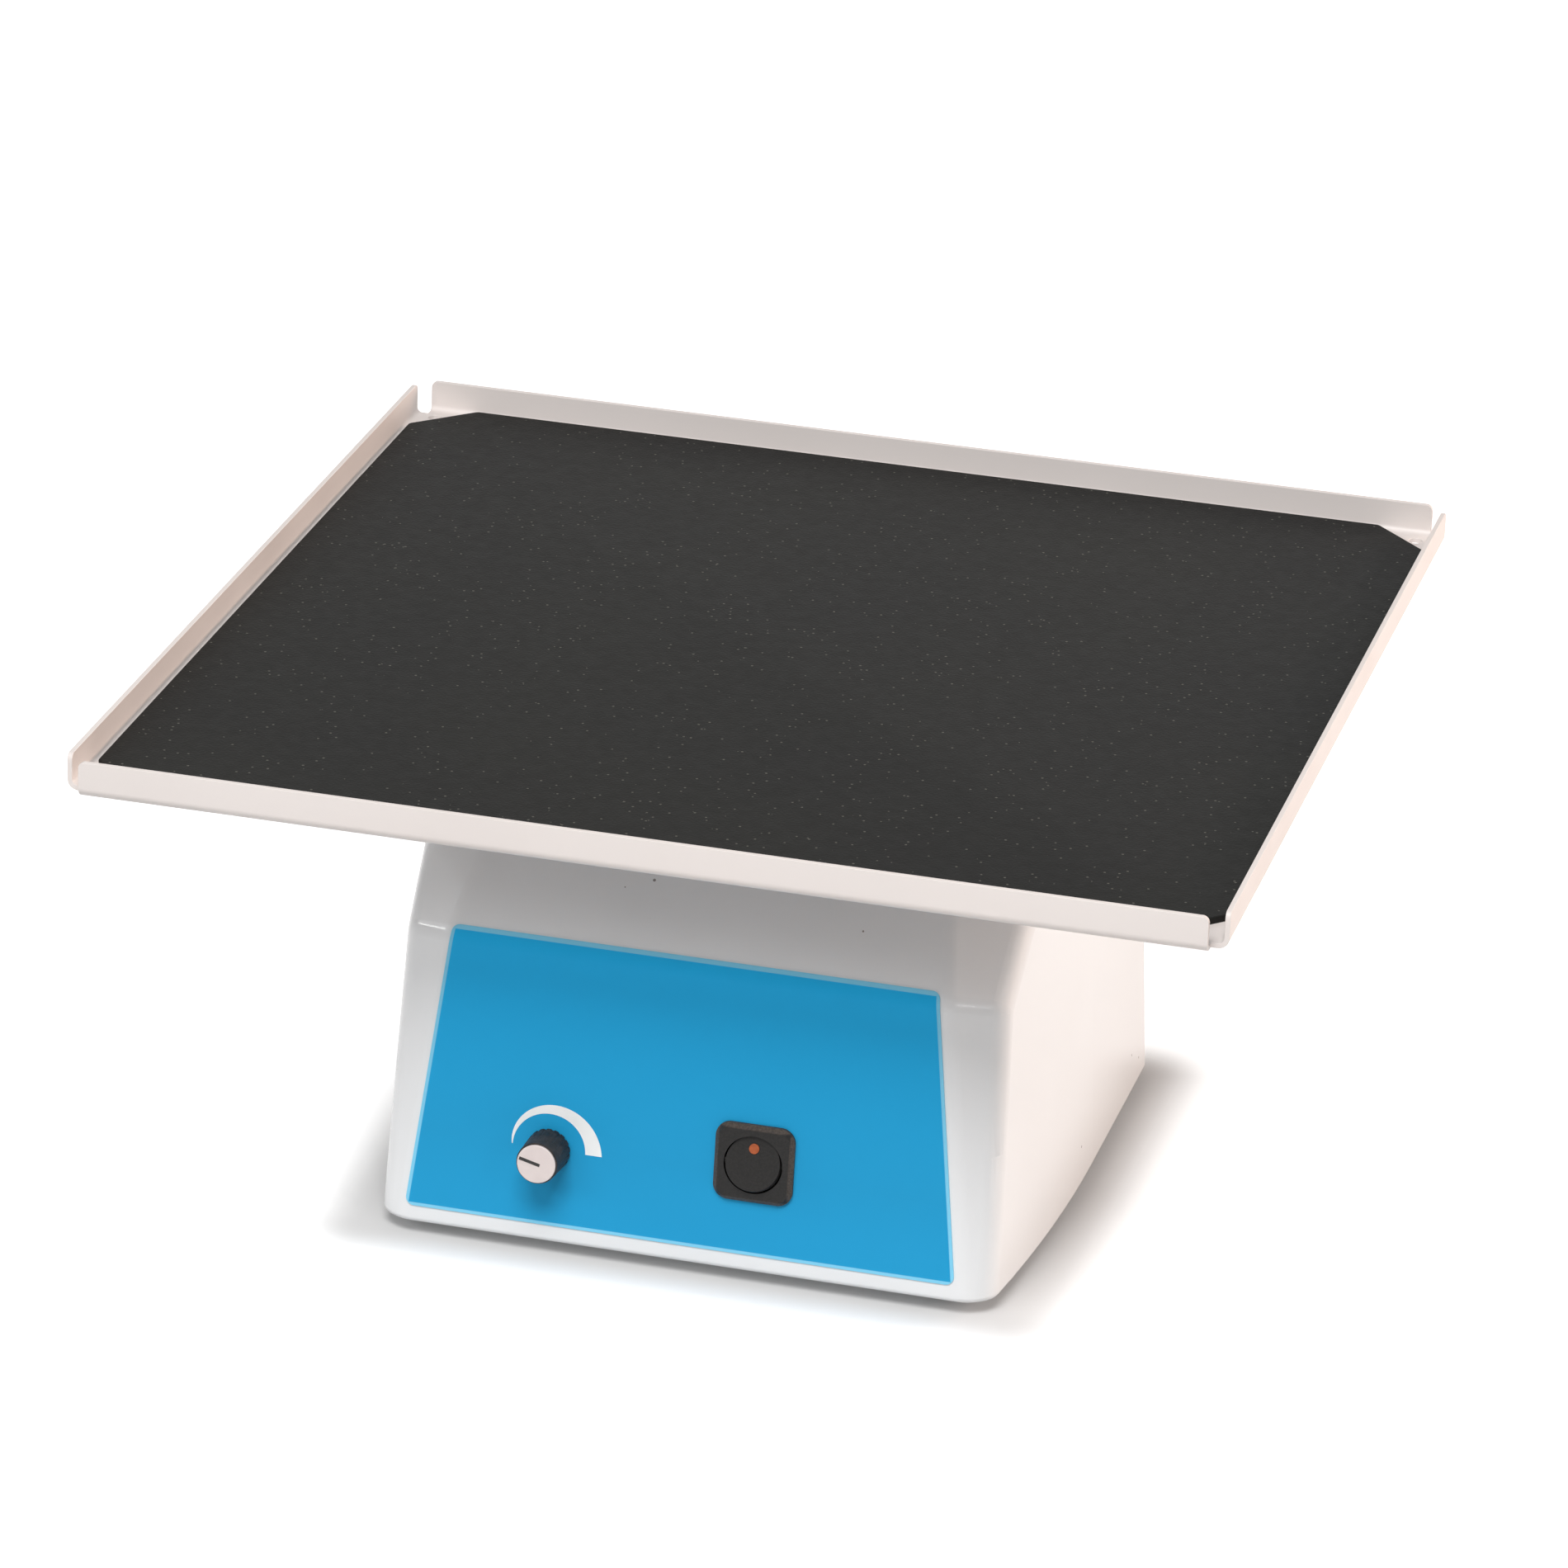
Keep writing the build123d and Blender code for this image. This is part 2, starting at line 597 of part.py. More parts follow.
# Driven crank: its hub sits on the shaft, its pin turns in the carriage's middle bearing
WEIGHT_SCREW_X = WEIGHT_SCREW_R * sin(radians(WEIGHT_SCREW_TURN))
WEIGHT_SCREW_Y = AXIS_Y - WEIGHT_SCREW_R * cos(radians(WEIGHT_SCREW_TURN))
WEIGHT_SCREW_PLACES = [(-WEIGHT_SCREW_X, WEIGHT_SCREW_Y), (WEIGHT_SCREW_X, WEIGHT_SCREW_Y)]
CRANK_SHELF = CRANK_Z + CRANK_DISC_T
CRANK_PIN_R = CRANK_BEARING[0] / 2
SHAFT_R = SHAFT_BEARING[0] / 2
PIN_SHOULDER_Z = BOSS_BEARING_Z - FACE_GAP
with BuildPart() as eccentric_crank:
    boss([AXIS], CRANK_DISC_R, CRANK_Z, CRANK_DISC_T)
    boss([AXIS], CRANK_HUB_R, CRANK_Z, CRANK_T)
    boss([PIN], CRANK_PIN_R + PIN_COLLAR, CRANK_TOP, PIN_SHOULDER_Z - CRANK_TOP)
    boss([PIN], CRANK_PIN_R, PIN_SHOULDER_Z, PIN_TOP - PIN_SHOULDER_Z)
    chamfer(eccentric_crank.faces().sort_by(Axis.Z)[-1].edges(), PIN_CHAMFER)
    boss([AXIS], SHAFT_R + FIT, CRANK_Z, CRANK_T - CRANK_CAP, Mode.SUBTRACT)
    drill(Plane.XY.offset(CRANK_SHELF), WEIGHT_SCREW_PLACES, M4[0] / 2 + FIT, CRANK_DISC_T)

with BuildPart() as counterweight:
    with BuildSketch(Plane.XY.offset(CRANK_SHELF)):
        with Locations(AXIS):
            Circle(CRANK_DISC_R)
            Circle(WEIGHT_INNER_R, mode=Mode.SUBTRACT)
            Rectangle(2 * CRANK_DISC_R, CRANK_DISC_R, align=(Align.CENTER, Align.MIN), mode=Mode.SUBTRACT)
    extrude(amount=CRANK_TOP - CRANK_SHELF)
    fillet(counterweight.edges().filter_by(Axis.Z), WEIGHT_CORNER_R)
    countersink(Plane.XY.offset(CRANK_TOP), WEIGHT_SCREW_PLACES, M4, CRANK_TOP - CRANK_SHELF)

counterweight_screws = flush_screws(Plane.XY.offset(CRANK_TOP), WEIGHT_SCREW_PLACES, M4, WEIGHT_SCREW_L)

SHAFT_Z = SHEAVE_Z - SHAFT_TAIL
with BuildPart() as main_shaft:
    boss([AXIS], SHAFT_R, SHAFT_Z, CRANK_TOP - CRANK_CAP - FIT - SHAFT_Z)
    chamfer(main_shaft.edges().filter_by(GeomType.CIRCLE), PIN_CHAMFER)


def idler_crank(point):
    """Idler crank: its lower pin turns in the drive plate, its upper pin in the carriage."""
    x, y = point
    pin_radius = IDLER_BEARING[0] / 2
    web_top = CRANK_Z + IDLER_WEB_T
    shoulder = CUP_BEARING_Z + IDLER_BEARING[2] + FACE_GAP
    tail = CUP_BEARING_Z - PIN_TAIL
    with BuildPart() as crank:
        with BuildSketch(Plane.XY.offset(CRANK_Z)):
            with Locations((x, y + ORBIT_R / 2)):
                SlotCenterToCenter(ORBIT_R, 2 * IDLER_WEB_R, rotation=90)
        extrude(amount=IDLER_WEB_T)
        chamfer(crank.faces().filter_by(Axis.Z).edges(), PIN_CHAMFER)
        boss([point], pin_radius + PIN_COLLAR, shoulder, CRANK_Z - shoulder)
        boss([point], pin_radius, tail, shoulder - tail)
        chamfer(crank.faces().sort_by(Axis.Z)[0].edges(), PIN_CHAMFER)
        boss([(x, y + ORBIT_R)], pin_radius + PIN_COLLAR, web_top, PIN_SHOULDER_Z - web_top)
        boss([(x, y + ORBIT_R)], pin_radius, PIN_SHOULDER_Z, PIN_TOP - PIN_SHOULDER_Z)
        chamfer(crank.faces().sort_by(Axis.Z)[-1].edges(), PIN_CHAMFER)
    return crank


idler_cranks = {side: idler_crank(point) for side, point in IDLERS.items()}

# Drive plate with the shaft's bearing housing and the idlers' pressed cups
HUB_SCREW_PLACES = [
    (HUB_SCREW_R * cos(radians(turn)), AXIS_Y + HUB_SCREW_R * sin(radians(turn)))
    for turn in [FIRST_TURN + 360 * step / HUB_SCREWS for step in range(HUB_SCREWS)]
]
with BuildPart() as drive_plate:
    with BuildSketch(Plane.XY.offset(PLATE_Z)):
        with Locations((0, (PLATE_FRONT_Y + PLATE_REAR_Y) / 2)):
            RectangleRounded(2 * PLATE_HALF_W, PLATE_REAR_Y - PLATE_FRONT_Y, PLATE_CORNER_R)
        with Locations(AXIS):
            Circle(HUB_D / 2 + FIT, mode=Mode.SUBTRACT)
        with Locations(*IDLERS.values()):
            Circle(CUP_D / 2 + FIT, mode=Mode.SUBTRACT)
        with Locations(*PILLARS):
            Circle(M4[0] / 2 + SCREW_GAP, mode=Mode.SUBTRACT)
        with Locations(*HUB_SCREW_PLACES):
            Circle(M4[0] / 2 + FIT, mode=Mode.SUBTRACT)
    extrude(amount=PLATE_T)

SHAFT_SEAT_R = SHAFT_BEARING[1] / 2
SHAFT_SEAT_H = HUB_LIP + SHAFT_BEARING[2]
with BuildPart() as main_bearing_housing:
    boss([AXIS], HUB_FLANGE_D / 2, PLATE_TOP, HUB_FLANGE_T)
    boss([AXIS], HUB_D / 2, HUB_Z, HUB_SPAN)
    boss([AXIS], SHAFT_SEAT_R - SEAT_SHOULDER, HUB_Z, HUB_SPAN, Mode.SUBTRACT)
    boss([AXIS], SHAFT_SEAT_R, HUB_Z, SHAFT_SEAT_H, Mode.SUBTRACT)
    boss([AXIS], SHAFT_SEAT_R, HUB_TOP - SHAFT_SEAT_H, SHAFT_SEAT_H, Mode.SUBTRACT)
    countersink(Plane.XY.offset(HUB_TOP), HUB_SCREW_PLACES, M4, HUB_FLANGE_T)

main_bearings = ball_bearings([AXIS], [HUB_Z + HUB_LIP, HUB_TOP - SHAFT_SEAT_H], SHAFT_BEARING)
bearing_housing_screws = flush_screws(Plane.XY.offset(HUB_TOP), HUB_SCREW_PLACES, M4, HUB_FLANGE_T + PLATE_T)

CUP_PLACES = list(IDLERS.values())
with BuildPart() as idler_bearing_cups:
    boss(CUP_PLACES, CUP_FLANGE_D / 2, PLATE_TOP, CUP_FLANGE_T)
    boss(CUP_PLACES, CUP_D / 2, CUP_TOP - CUP_H, CUP_H)
    boss(CUP_PLACES, IDLER_SEAT_R - SEAT_SHOULDER, CUP_TOP - CUP_H, CUP_H, Mode.SUBTRACT)
    boss(CUP_PLACES, IDLER_SEAT_R, CUP_BEARING_Z, CUP_TOP - CUP_BEARING_Z, Mode.SUBTRACT)

idler_lower_bearings = ball_bearings(CUP_PLACES, [CUP_BEARING_Z], IDLER_BEARING)

# Pillars between the base plate and the drive plate
with BuildPart() as support_pillars:
    boss(PILLARS, PILLAR_D / 2, BASE_TOP, PLATE_Z - BASE_TOP)
    chamfer(support_pillars.edges().filter_by(GeomType.CIRCLE), PIN_CHAMFER)
    drill(Plane.XY.offset(PLATE_Z), PILLARS, M4[0] / 2 + FIT, PILLAR_SCREW_L)
    boss(PILLARS, M4[0] / 2 + FIT, BASE_TOP, PILLAR_SCREW_L, Mode.SUBTRACT)

pillar_top_screws = cap_screws(Plane.XY.offset(PLATE_TOP), PILLARS, M4, PILLAR_SCREW_L)
pillar_foot_screws = flush_screws(UNDERSIDE, UNDER_PILLARS, M4, PILLAR_SCREW_L)
with BuildPart() as pillar_screws:
    add(pillar_top_screws.part)
    add(pillar_foot_screws.part)

# Driven pulley on the shaft, and its grub screw
HUB_SCREW_Z = SHEAVE_Z + SHEAVE_W + SHEAVE_HUB_H / 2
with BuildPart() as driven_pulley:
    boss([AXIS], DRIVEN_R + SHEAVE_LIP, SHEAVE_Z, SHEAVE_W)
    for face_z, depth in ((SHEAVE_Z, 1), (SHEAVE_Z + SHEAVE_W, -1)):
        with BuildSketch(Plane.XY.offset(face_z)):
            with Locations(AXIS):
                Circle(DRIVEN_R - SHEAVE_RIM)
                Circle(SHEAVE_HUB_R, mode=Mode.SUBTRACT)
        extrude(amount=depth * (SHEAVE_W - SHEAVE_WEB_T) / 2, mode=Mode.SUBTRACT)
    with BuildSketch(Plane.XY.offset(SHEAVE_Z)):
        with Locations(AXIS):
            with PolarLocations((DRIVEN_R - SHEAVE_RIM + SHEAVE_HUB_R) / 2, SHEAVE_HOLES):
                Circle(SHEAVE_HOLE_D / 2)
    extrude(amount=SHEAVE_W, mode=Mode.SUBTRACT)
    boss([AXIS], SHEAVE_HUB_R, SHEAVE_Z + SHEAVE_W, SHEAVE_HUB_H)
    boss([AXIS], SHAFT_R + FIT, SHEAVE_Z, SHEAVE_W + SHEAVE_HUB_H, Mode.SUBTRACT)
    cut_groove(AXIS, DRIVEN_R)
    with BuildSketch(Plane((0, AXIS_Y, HUB_SCREW_Z), x_dir=(0, 1, 0), z_dir=(1, 0, 0))):
        Circle(M4[0] / 2 + FIT)
    extrude(amount=SHEAVE_HUB_R, mode=Mode.SUBTRACT)


def grub_screw(point, z, shaft_radius):
    """Radial socket screw that holds a hub on its shaft."""
    x, y = point
    start = Plane((x + shaft_radius + FACE_GAP, y, z), x_dir=(0, 1, 0), z_dir=(1, 0, 0))
    with BuildPart() as screw:
        with BuildSketch(start):
            Circle(M4[0] / 2)
        extrude(amount=GRUB_L)
        with BuildSketch(start.offset(GRUB_L)):
            RegularPolygon(SOCKET * M4[0], 6)
        extrude(amount=-GRUB_L / 2, mode=Mode.SUBTRACT)
    return screw


pulley_grub_screw = grub_screw(AXIS, HUB_SCREW_Z, SHAFT_R)

# Motor, its bracket and the small pulley
MOTOR_R = MOTOR_D / 2
MOTOR_SHAFT_R = MOTOR_SHAFT_D / 2
MOTOR_BORE_Z = BRACKET_Z - MOTOR_SHAFT_SINK
MOTOR_PLACES = [
    (MOTOR_SCREW_R * cos(radians(turn)), MOTOR_AXIS[1] + MOTOR_SCREW_R * sin(radians(turn)))
    for turn in [FIRST_TURN + 360 * step / MOTOR_SCREWS for step in range(MOTOR_SCREWS)]
]
with BuildPart() as drive_motor:
    boss([MOTOR_AXIS], MOTOR_R, MOTOR_Z, MOTOR_H)
    fillet(drive_motor.faces().sort_by(Axis.Z)[0].edges(), MOTOR_EDGE_R)
    with BuildSketch(Plane.XY.offset(MOTOR_Z + MOTOR_H - MOTOR_CAP_T)):
        with Locations(MOTOR_AXIS):
            Circle(MOTOR_R)
            Circle(MOTOR_R - MOTOR_SEAM, mode=Mode.SUBTRACT)
    extrude(amount=-MOTOR_SEAM, mode=Mode.SUBTRACT)
    boss([MOTOR_AXIS], MOTOR_NOSE_R, BRACKET_Z, MOTOR_NOSE_H)
    boss([MOTOR_AXIS], MOTOR_SHAFT_R + RUN, MOTOR_BORE_Z, MOTOR_SHAFT_SINK + MOTOR_NOSE_H, Mode.SUBTRACT)
    drill(Plane.XY.offset(BRACKET_Z), MOTOR_PLACES, M3[0] / 2 + FIT, MOTOR_SCREW_L)
    with BuildSketch(Plane.XY.offset(MOTOR_Z)):
        with Locations(MOTOR_AXIS):
            with GridLocations(MOTOR_R, 0, 2, 1):
                Rectangle(BLADE[1], BLADE[0])
    extrude(amount=-MOTOR_TAB_H)

BRACKET_MID = BRACKET_HALF_W - BRACKET_T / 2
BRACKET_FOOT_Z = BASE_TOP + BRACKET_T / 2
BRACKET_TOP_Z = BRACKET_Z + BRACKET_T / 2
motor_bracket = bent_strip(
    [
        (-BRACKET_HALF_W - BRACKET_FOOT, BRACKET_FOOT_Z),
        (-BRACKET_MID, BRACKET_FOOT_Z),
        (-BRACKET_MID, BRACKET_TOP_Z),
        (BRACKET_MID, BRACKET_TOP_Z),
        (BRACKET_MID, BRACKET_FOOT_Z),
        (BRACKET_HALF_W + BRACKET_FOOT, BRACKET_FOOT_Z),
    ],
    BRACKET_T,
    BRACKET_BEND_R,
    Plane((0, MOTOR_AXIS[1], 0), x_dir=(1, 0, 0), z_dir=(0, -1, 0)),
    BRACKET_D,
)
with motor_bracket:
    drill(Plane.XY.offset(BRACKET_Z + BRACKET_T), [MOTOR_AXIS], MOTOR_NOSE_R + SCREW_GAP, BRACKET_T)
    drill(Plane.XY.offset(BRACKET_Z + BRACKET_T), MOTOR_PLACES, M3[0] / 2 + SCREW_GAP, BRACKET_T)
    drill(Plane.XY.offset(BASE_TOP + BRACKET_T), BRACKET_SCREWS, M4[0] / 2 + SCREW_GAP, BRACKET_T)

motor_screws = cap_screws(Plane.XY.offset(BRACKET_Z + BRACKET_T), MOTOR_PLACES, M3, BRACKET_T + MOTOR_SCREW_L)
bracket_screws = cap_screws(Plane.XY.offset(BASE_TOP + BRACKET_T), BRACKET_SCREWS, M4, BRACKET_T + BASE_T)

DRIVER_HUB_Z = SHEAVE_Z + SHEAVE_W
DRIVER_TOP = DRIVER_HUB_Z + DRIVER_HUB_H
with BuildPart() as motor_shaft:
    boss([MOTOR_AXIS], MOTOR_SHAFT_R, MOTOR_BORE_Z + FACE_GAP, DRIVER_TOP - MOTOR_BORE_Z)
    chamfer(motor_shaft.faces().sort_by(Axis.Z)[-1].edges(), MOTOR_SEAM)

with BuildPart() as motor_pulley:
    boss([MOTOR_AXIS], DRIVER_R + SHEAVE_LIP, SHEAVE_Z, SHEAVE_W)
    boss([MOTOR_AXIS], DRIVER_HUB_R, DRIVER_HUB_Z, DRIVER_HUB_H)
    boss([MOTOR_AXIS], MOTOR_SHAFT_R + FIT, SHEAVE_Z, SHEAVE_W + DRIVER_HUB_H, Mode.SUBTRACT)
    cut_groove(MOTOR_AXIS, DRIVER_R)

# Belt: its round section runs along two arcs and the two straights that touch them
BELT_WRAP = degrees(asin((DRIVEN_R - DRIVER_R) / MOTOR_Y))
with BuildPart() as drive_belt:
    with BuildLine(Plane.XY.offset(BELT_Z)) as belt_path:
        large = CenterArc(AXIS, DRIVEN_R, 180 - BELT_WRAP, 180 + 2 * BELT_WRAP)
        small = CenterArc(MOTOR_AXIS, DRIVER_R, BELT_WRAP, 180 - 2 * BELT_WRAP)
        Line(large @ 1, small @ 0)
        Line(small @ 1, large @ 0)
    with BuildSketch(Plane(large @ 0.5, x_dir=(0, 1, 0), z_dir=large % 0.5)):
        Circle(BELT_D / 2)
    sweep()

# Base plate, feet and foot screws
base_plate = body_block(BODY_WALL + BASE_GAP, BASE_T)
with base_plate:
    drill(Plane.XY.offset(BASE_TOP), FEET, M4[0] / 2 + SCREW_GAP, BASE_T)
    drill(Plane.XY.offset(BASE_TOP), BRACKET_SCREWS, M4[0] / 2 + FIT, BASE_T)
    drill(Plane.XY.offset(BASE_TOP), BOARD_HOLES, M3[0] / 2 + FIT, BASE_T)
    drill(Plane.XY.offset(BASE_TOP), STRAP_SCREWS, M3[0] / 2 + FIT, BASE_T)
    countersink(UNDERSIDE, UNDER_PILLARS, M4, BASE_T)
    with BuildSketch(Plane.XY.offset(FOOT_H)) as vents:
        with Locations(MOTOR_AXIS):
            with GridLocations(0, VENT_PITCH, 1, VENT_SLOTS):
                SlotOverall(VENT_SLOT[0], VENT_SLOT[1])
    extrude(vents.sketch, amount=BASE_T, mode=Mode.SUBTRACT)

with BuildPart() as rubber_feet:
    with BuildSketch(Plane.XY.offset(FOOT_H)):
        with Locations(*FEET):
            Circle(FOOT_D / 2)
    extrude(amount=-FOOT_H, taper=FOOT_SLOPE)
    boss(FEET, M4[1] / 2 + 2 * SCREW_GAP, 0, FOOT_RECESS, Mode.SUBTRACT)
    boss(FEET, M4[0] / 2 + SCREW_GAP, 0, FOOT_H, Mode.SUBTRACT)

foot_screws = cap_screws(Plane.XY.offset(FOOT_RECESS), FEET, M4, FOOT_SCREW_L, up=-1)

# Housing: the faceted shell, its top holes for the crank pins, its posts and its cut-outs
housing_cavity = body_block(BODY_WALL, BODY_H - BODY_WALL)
rib_limit = body_block(BODY_WALL / 2, POST_H + BASE_T)
with BuildPart() as housing_posts:
    for x, y in FEET:
        side_wall = (BODY_HALF_W if x > 0 else -BODY_HALF_W, y)
        end_wall = (x, AXIS_Y - BODY_FRONT if y < AXIS_Y else AXIS_Y + BODY_REAR)
        for wall in (side_wall, end_wall):
            with BuildSketch(Plane.XY.offset(BASE_TOP)):
                with BuildLine():
                    Line((x, y), wall)
                trace(line_width=POST_RIB_T)
            extrude(amount=POST_H)
    add(rib_limit.part, mode=Mode.INTERSECT)
    boss(FEET, POST_D / 2, BASE_TOP, POST_H)

SWITCH_HOLE = SWITCH_BODY + 2 * SCREW_GAP
CRANK_HOLE_R = ORBIT_R + CRANK_PIN_R + PIN_COLLAR + PIN_CLEARANCE
IDLER_HOLE_R = ORBIT_R + IDLER_BEARING[0] / 2 + PIN_COLLAR + PIN_CLEARANCE
with BuildPart() as housing_shell:
    add(body_block(0, BODY_H).part)
    fillet(housing_shell.faces().sort_by(Axis.Z)[-1].edges(), TOP_EDGE_R)
    fillet(housing_shell.faces().sort_by(Axis.Z)[0].edges(), FOOT_EDGE_R)
    add(housing_cavity.part, mode=Mode.SUBTRACT)
    add(housing_posts.part)
    boss(FEET, M4[0] / 2 + FIT, BASE_TOP, POST_H - POST_CAP, Mode.SUBTRACT)
    drill(Plane.XY.offset(BODY_TOP), [AXIS], CRANK_HOLE_R, BODY_WALL)
    drill(Plane.XY.offset(BODY_TOP), CUP_PLACES, IDLER_HOLE_R, BODY_WALL)
    with BuildSketch(KNOB_PLANE):
        Circle(POT_BUSH_D / 2 + SCREW_GAP)
    extrude(amount=2 * BODY_WALL, both=True, mode=Mode.SUBTRACT)
    with BuildSketch(SWITCH_PLANE):
        Rectangle(SWITCH_HOLE, SWITCH_HOLE)
    extrude(amount=2 * BODY_WALL, both=True, mode=Mode.SUBTRACT)
    with BuildSketch(INLET_PLANE):
        Rectangle(INLET_BODY[0] + 2 * SCREW_GAP, INLET_BODY[1] + 2 * SCREW_GAP)
        with GridLocations(INLET_SCREW_PITCH, 0, 2, 1):
            Circle(M3[0] / 2 + FIT)
    extrude(amount=2 * BODY_WALL, both=True, mode=Mode.SUBTRACT)

# Front label: it follows the taper of the face and is cut for the two controls
LABEL_SIDE_SLOPE = tan(radians(FACE_TAPER))
LABEL_FOOT_HALF = FACE_HALF_W - LABEL_SIDE_GAP
LABEL_LOW_HALF = LABEL_FOOT_HALF - LABEL_LOW * LABEL_SIDE_SLOPE
LABEL_HIGH_HALF = LABEL_FOOT_HALF - LABEL_HIGH * LABEL_SIDE_SLOPE
with BuildPart() as front_label:
    with BuildSketch(FACE):
        with BuildLine():
            Polyline(
                (LABEL_SHIFT - LABEL_LOW_HALF, LABEL_LOW),
                (LABEL_SHIFT + LABEL_LOW_HALF, LABEL_LOW),
                (LABEL_SHIFT + LABEL_HIGH_HALF, LABEL_HIGH),
                (LABEL_SHIFT - LABEL_HIGH_HALF, LABEL_HIGH),
                close=True,
            )
        make_face()
    extrude(amount=LABEL_T)
    corners = front_label.edges().filter_by(lambda edge: edge.length < LABEL_CORNER_R)
    fillet(corners, LABEL_CORNER_R)
    with BuildSketch(KNOB_PLANE):
        Circle(POT_BUSH_D / 2 + SCREW_GAP)
    extrude(amount=LABEL_T, mode=Mode.SUBTRACT)
    with BuildSketch(SWITCH_PLANE):
        Rectangle(SWITCH_HOLE, SWITCH_HOLE)
    extrude(amount=LABEL_T, mode=Mode.SUBTRACT)

# Speed control: potentiometer behind the wall, nut in front, knob over both
with BuildPart() as speed_potentiometer:
    with BuildSketch(KNOB_PLANE.offset(-BODY_WALL)):
        Circle(POT_D / 2)
    extrude(amount=-POT_H)
    fillet(speed_potentiometer.edges(), POT_EDGE_R)
    with BuildSketch(KNOB_PLANE.offset(-BODY_WALL)):
        Circle(POT_BUSH_D / 2)
    extrude(amount=BODY_WALL + POT_BUSH_H)
    with BuildSketch(KNOB_PLANE.offset(POT_BUSH_H)):
        Circle(POT_SHAFT_D / 2 + RUN)
    extrude(amount=-POT_BUSH_H - BODY_WALL - POT_SHAFT_SINK, mode=Mode.SUBTRACT)
    with BuildSketch(KNOB_PLANE.offset(-BODY_WALL - POT_H / 2)):
        with Locations((0, -POT_D / 2)):
            with GridLocations(POT_TAB_PITCH, 0, 3, 1):
                Rectangle(POT_TAB_W, POT_D / 2)
    extrude(amount=POT_TAB_T)

with BuildPart() as potentiometer_nut:
    with BuildSketch(KNOB_PLANE.offset(LABEL_T)):
        RegularPolygon(POT_NUT_AF / 2, 6, major_radius=False)
        Circle(POT_BUSH_D / 2 + FIT, mode=Mode.SUBTRACT)
    extrude(amount=POT_NUT_T)

KNOB_FOOT = LABEL_T + KNOB_LIFT
KNOB_TOP = KNOB_FOOT + KNOB_H
with BuildPart() as potentiometer_shaft:
    with BuildSketch(KNOB_PLANE.offset(FACE_GAP - BODY_WALL - POT_SHAFT_SINK)):
        Circle(POT_SHAFT_D / 2)
    extrude(amount=KNOB_FOOT + KNOB_BORE_H + BODY_WALL + POT_SHAFT_SINK - 2 * FACE_GAP)

with BuildPart() as knob_body:
    with BuildSketch(KNOB_PLANE.offset(KNOB_FOOT)):
        Circle(KNOB_D / 2)
    extrude(amount=KNOB_H, taper=KNOB_SLOPE)
    fillet(knob_body.faces().filter_by(GeomType.PLANE).sort_by(Axis.Y)[0].edges(), KNOB_EDGE_R)
    with BuildSketch(KNOB_PLANE.offset(KNOB_FOOT)):
        with PolarLocations(KNOB_D / 2 + KNOB_FLUTE_R / 2, KNOB_FLUTES):
            Circle(KNOB_FLUTE_R)
    extrude(amount=KNOB_H, mode=Mode.SUBTRACT)
    with BuildSketch(KNOB_PLANE.offset(KNOB_FOOT)):
        Circle(KNOB_RECESS_R)
    extrude(amount=POT_BUSH_H + FACE_GAP - KNOB_FOOT, mode=Mode.SUBTRACT)
    with BuildSketch(KNOB_PLANE.offset(KNOB_FOOT)):
        Circle(POT_SHAFT_D / 2 + FIT)
    extrude(amount=KNOB_BORE_H, mode=Mode.SUBTRACT)
    with BuildSketch(KNOB_PLANE.offset(KNOB_TOP)):
        Circle(KNOB_CAP_D / 2 + FIT)
    extrude(amount=-KNOB_CAP_SINK, mode=Mode.SUBTRACT)

POINTER_BACK = POINTER_L - KNOB_CAP_D / 2 + POINTER_RIM
CAP_FACE = KNOB_PLANE.offset(KNOB_TOP - KNOB_CAP_SINK + KNOB_CAP_T)
POINTER_DIR = CAP_FACE.x_dir.rotate(Axis(CAP_FACE.origin, CAP_FACE.z_dir), 90 + POINTER_ANGLE)
POINTER_PLANE = Plane(CAP_FACE.origin, x_dir=POINTER_DIR, z_dir=CAP_FACE.z_dir)
with BuildPart() as knob_cap:
    with BuildSketch(CAP_FACE):
        Circle(KNOB_CAP_D / 2)
    extrude(amount=-KNOB_CAP_T)
    fillet(knob_cap.edges().sort_by(Axis.Y)[0], POINTER_T / 2)
    with BuildSketch(POINTER_PLANE):
        with Locations((-POINTER_BACK - FIT, 0)):
            Rectangle(POINTER_L + 2 * FIT, POINTER_W + 2 * FIT, align=(Align.MIN, Align.CENTER))
    extrude(amount=-POINTER_T, mode=Mode.SUBTRACT)

with BuildPart() as knob_pointer:
    with BuildSketch(POINTER_PLANE.offset(-POINTER_T)):
        with Locations((-POINTER_BACK, 0)):
            Rectangle(POINTER_L, POINTER_W, align=(Align.MIN, Align.CENTER))
    extrude(amount=POINTER_T + POINTER_RISE)

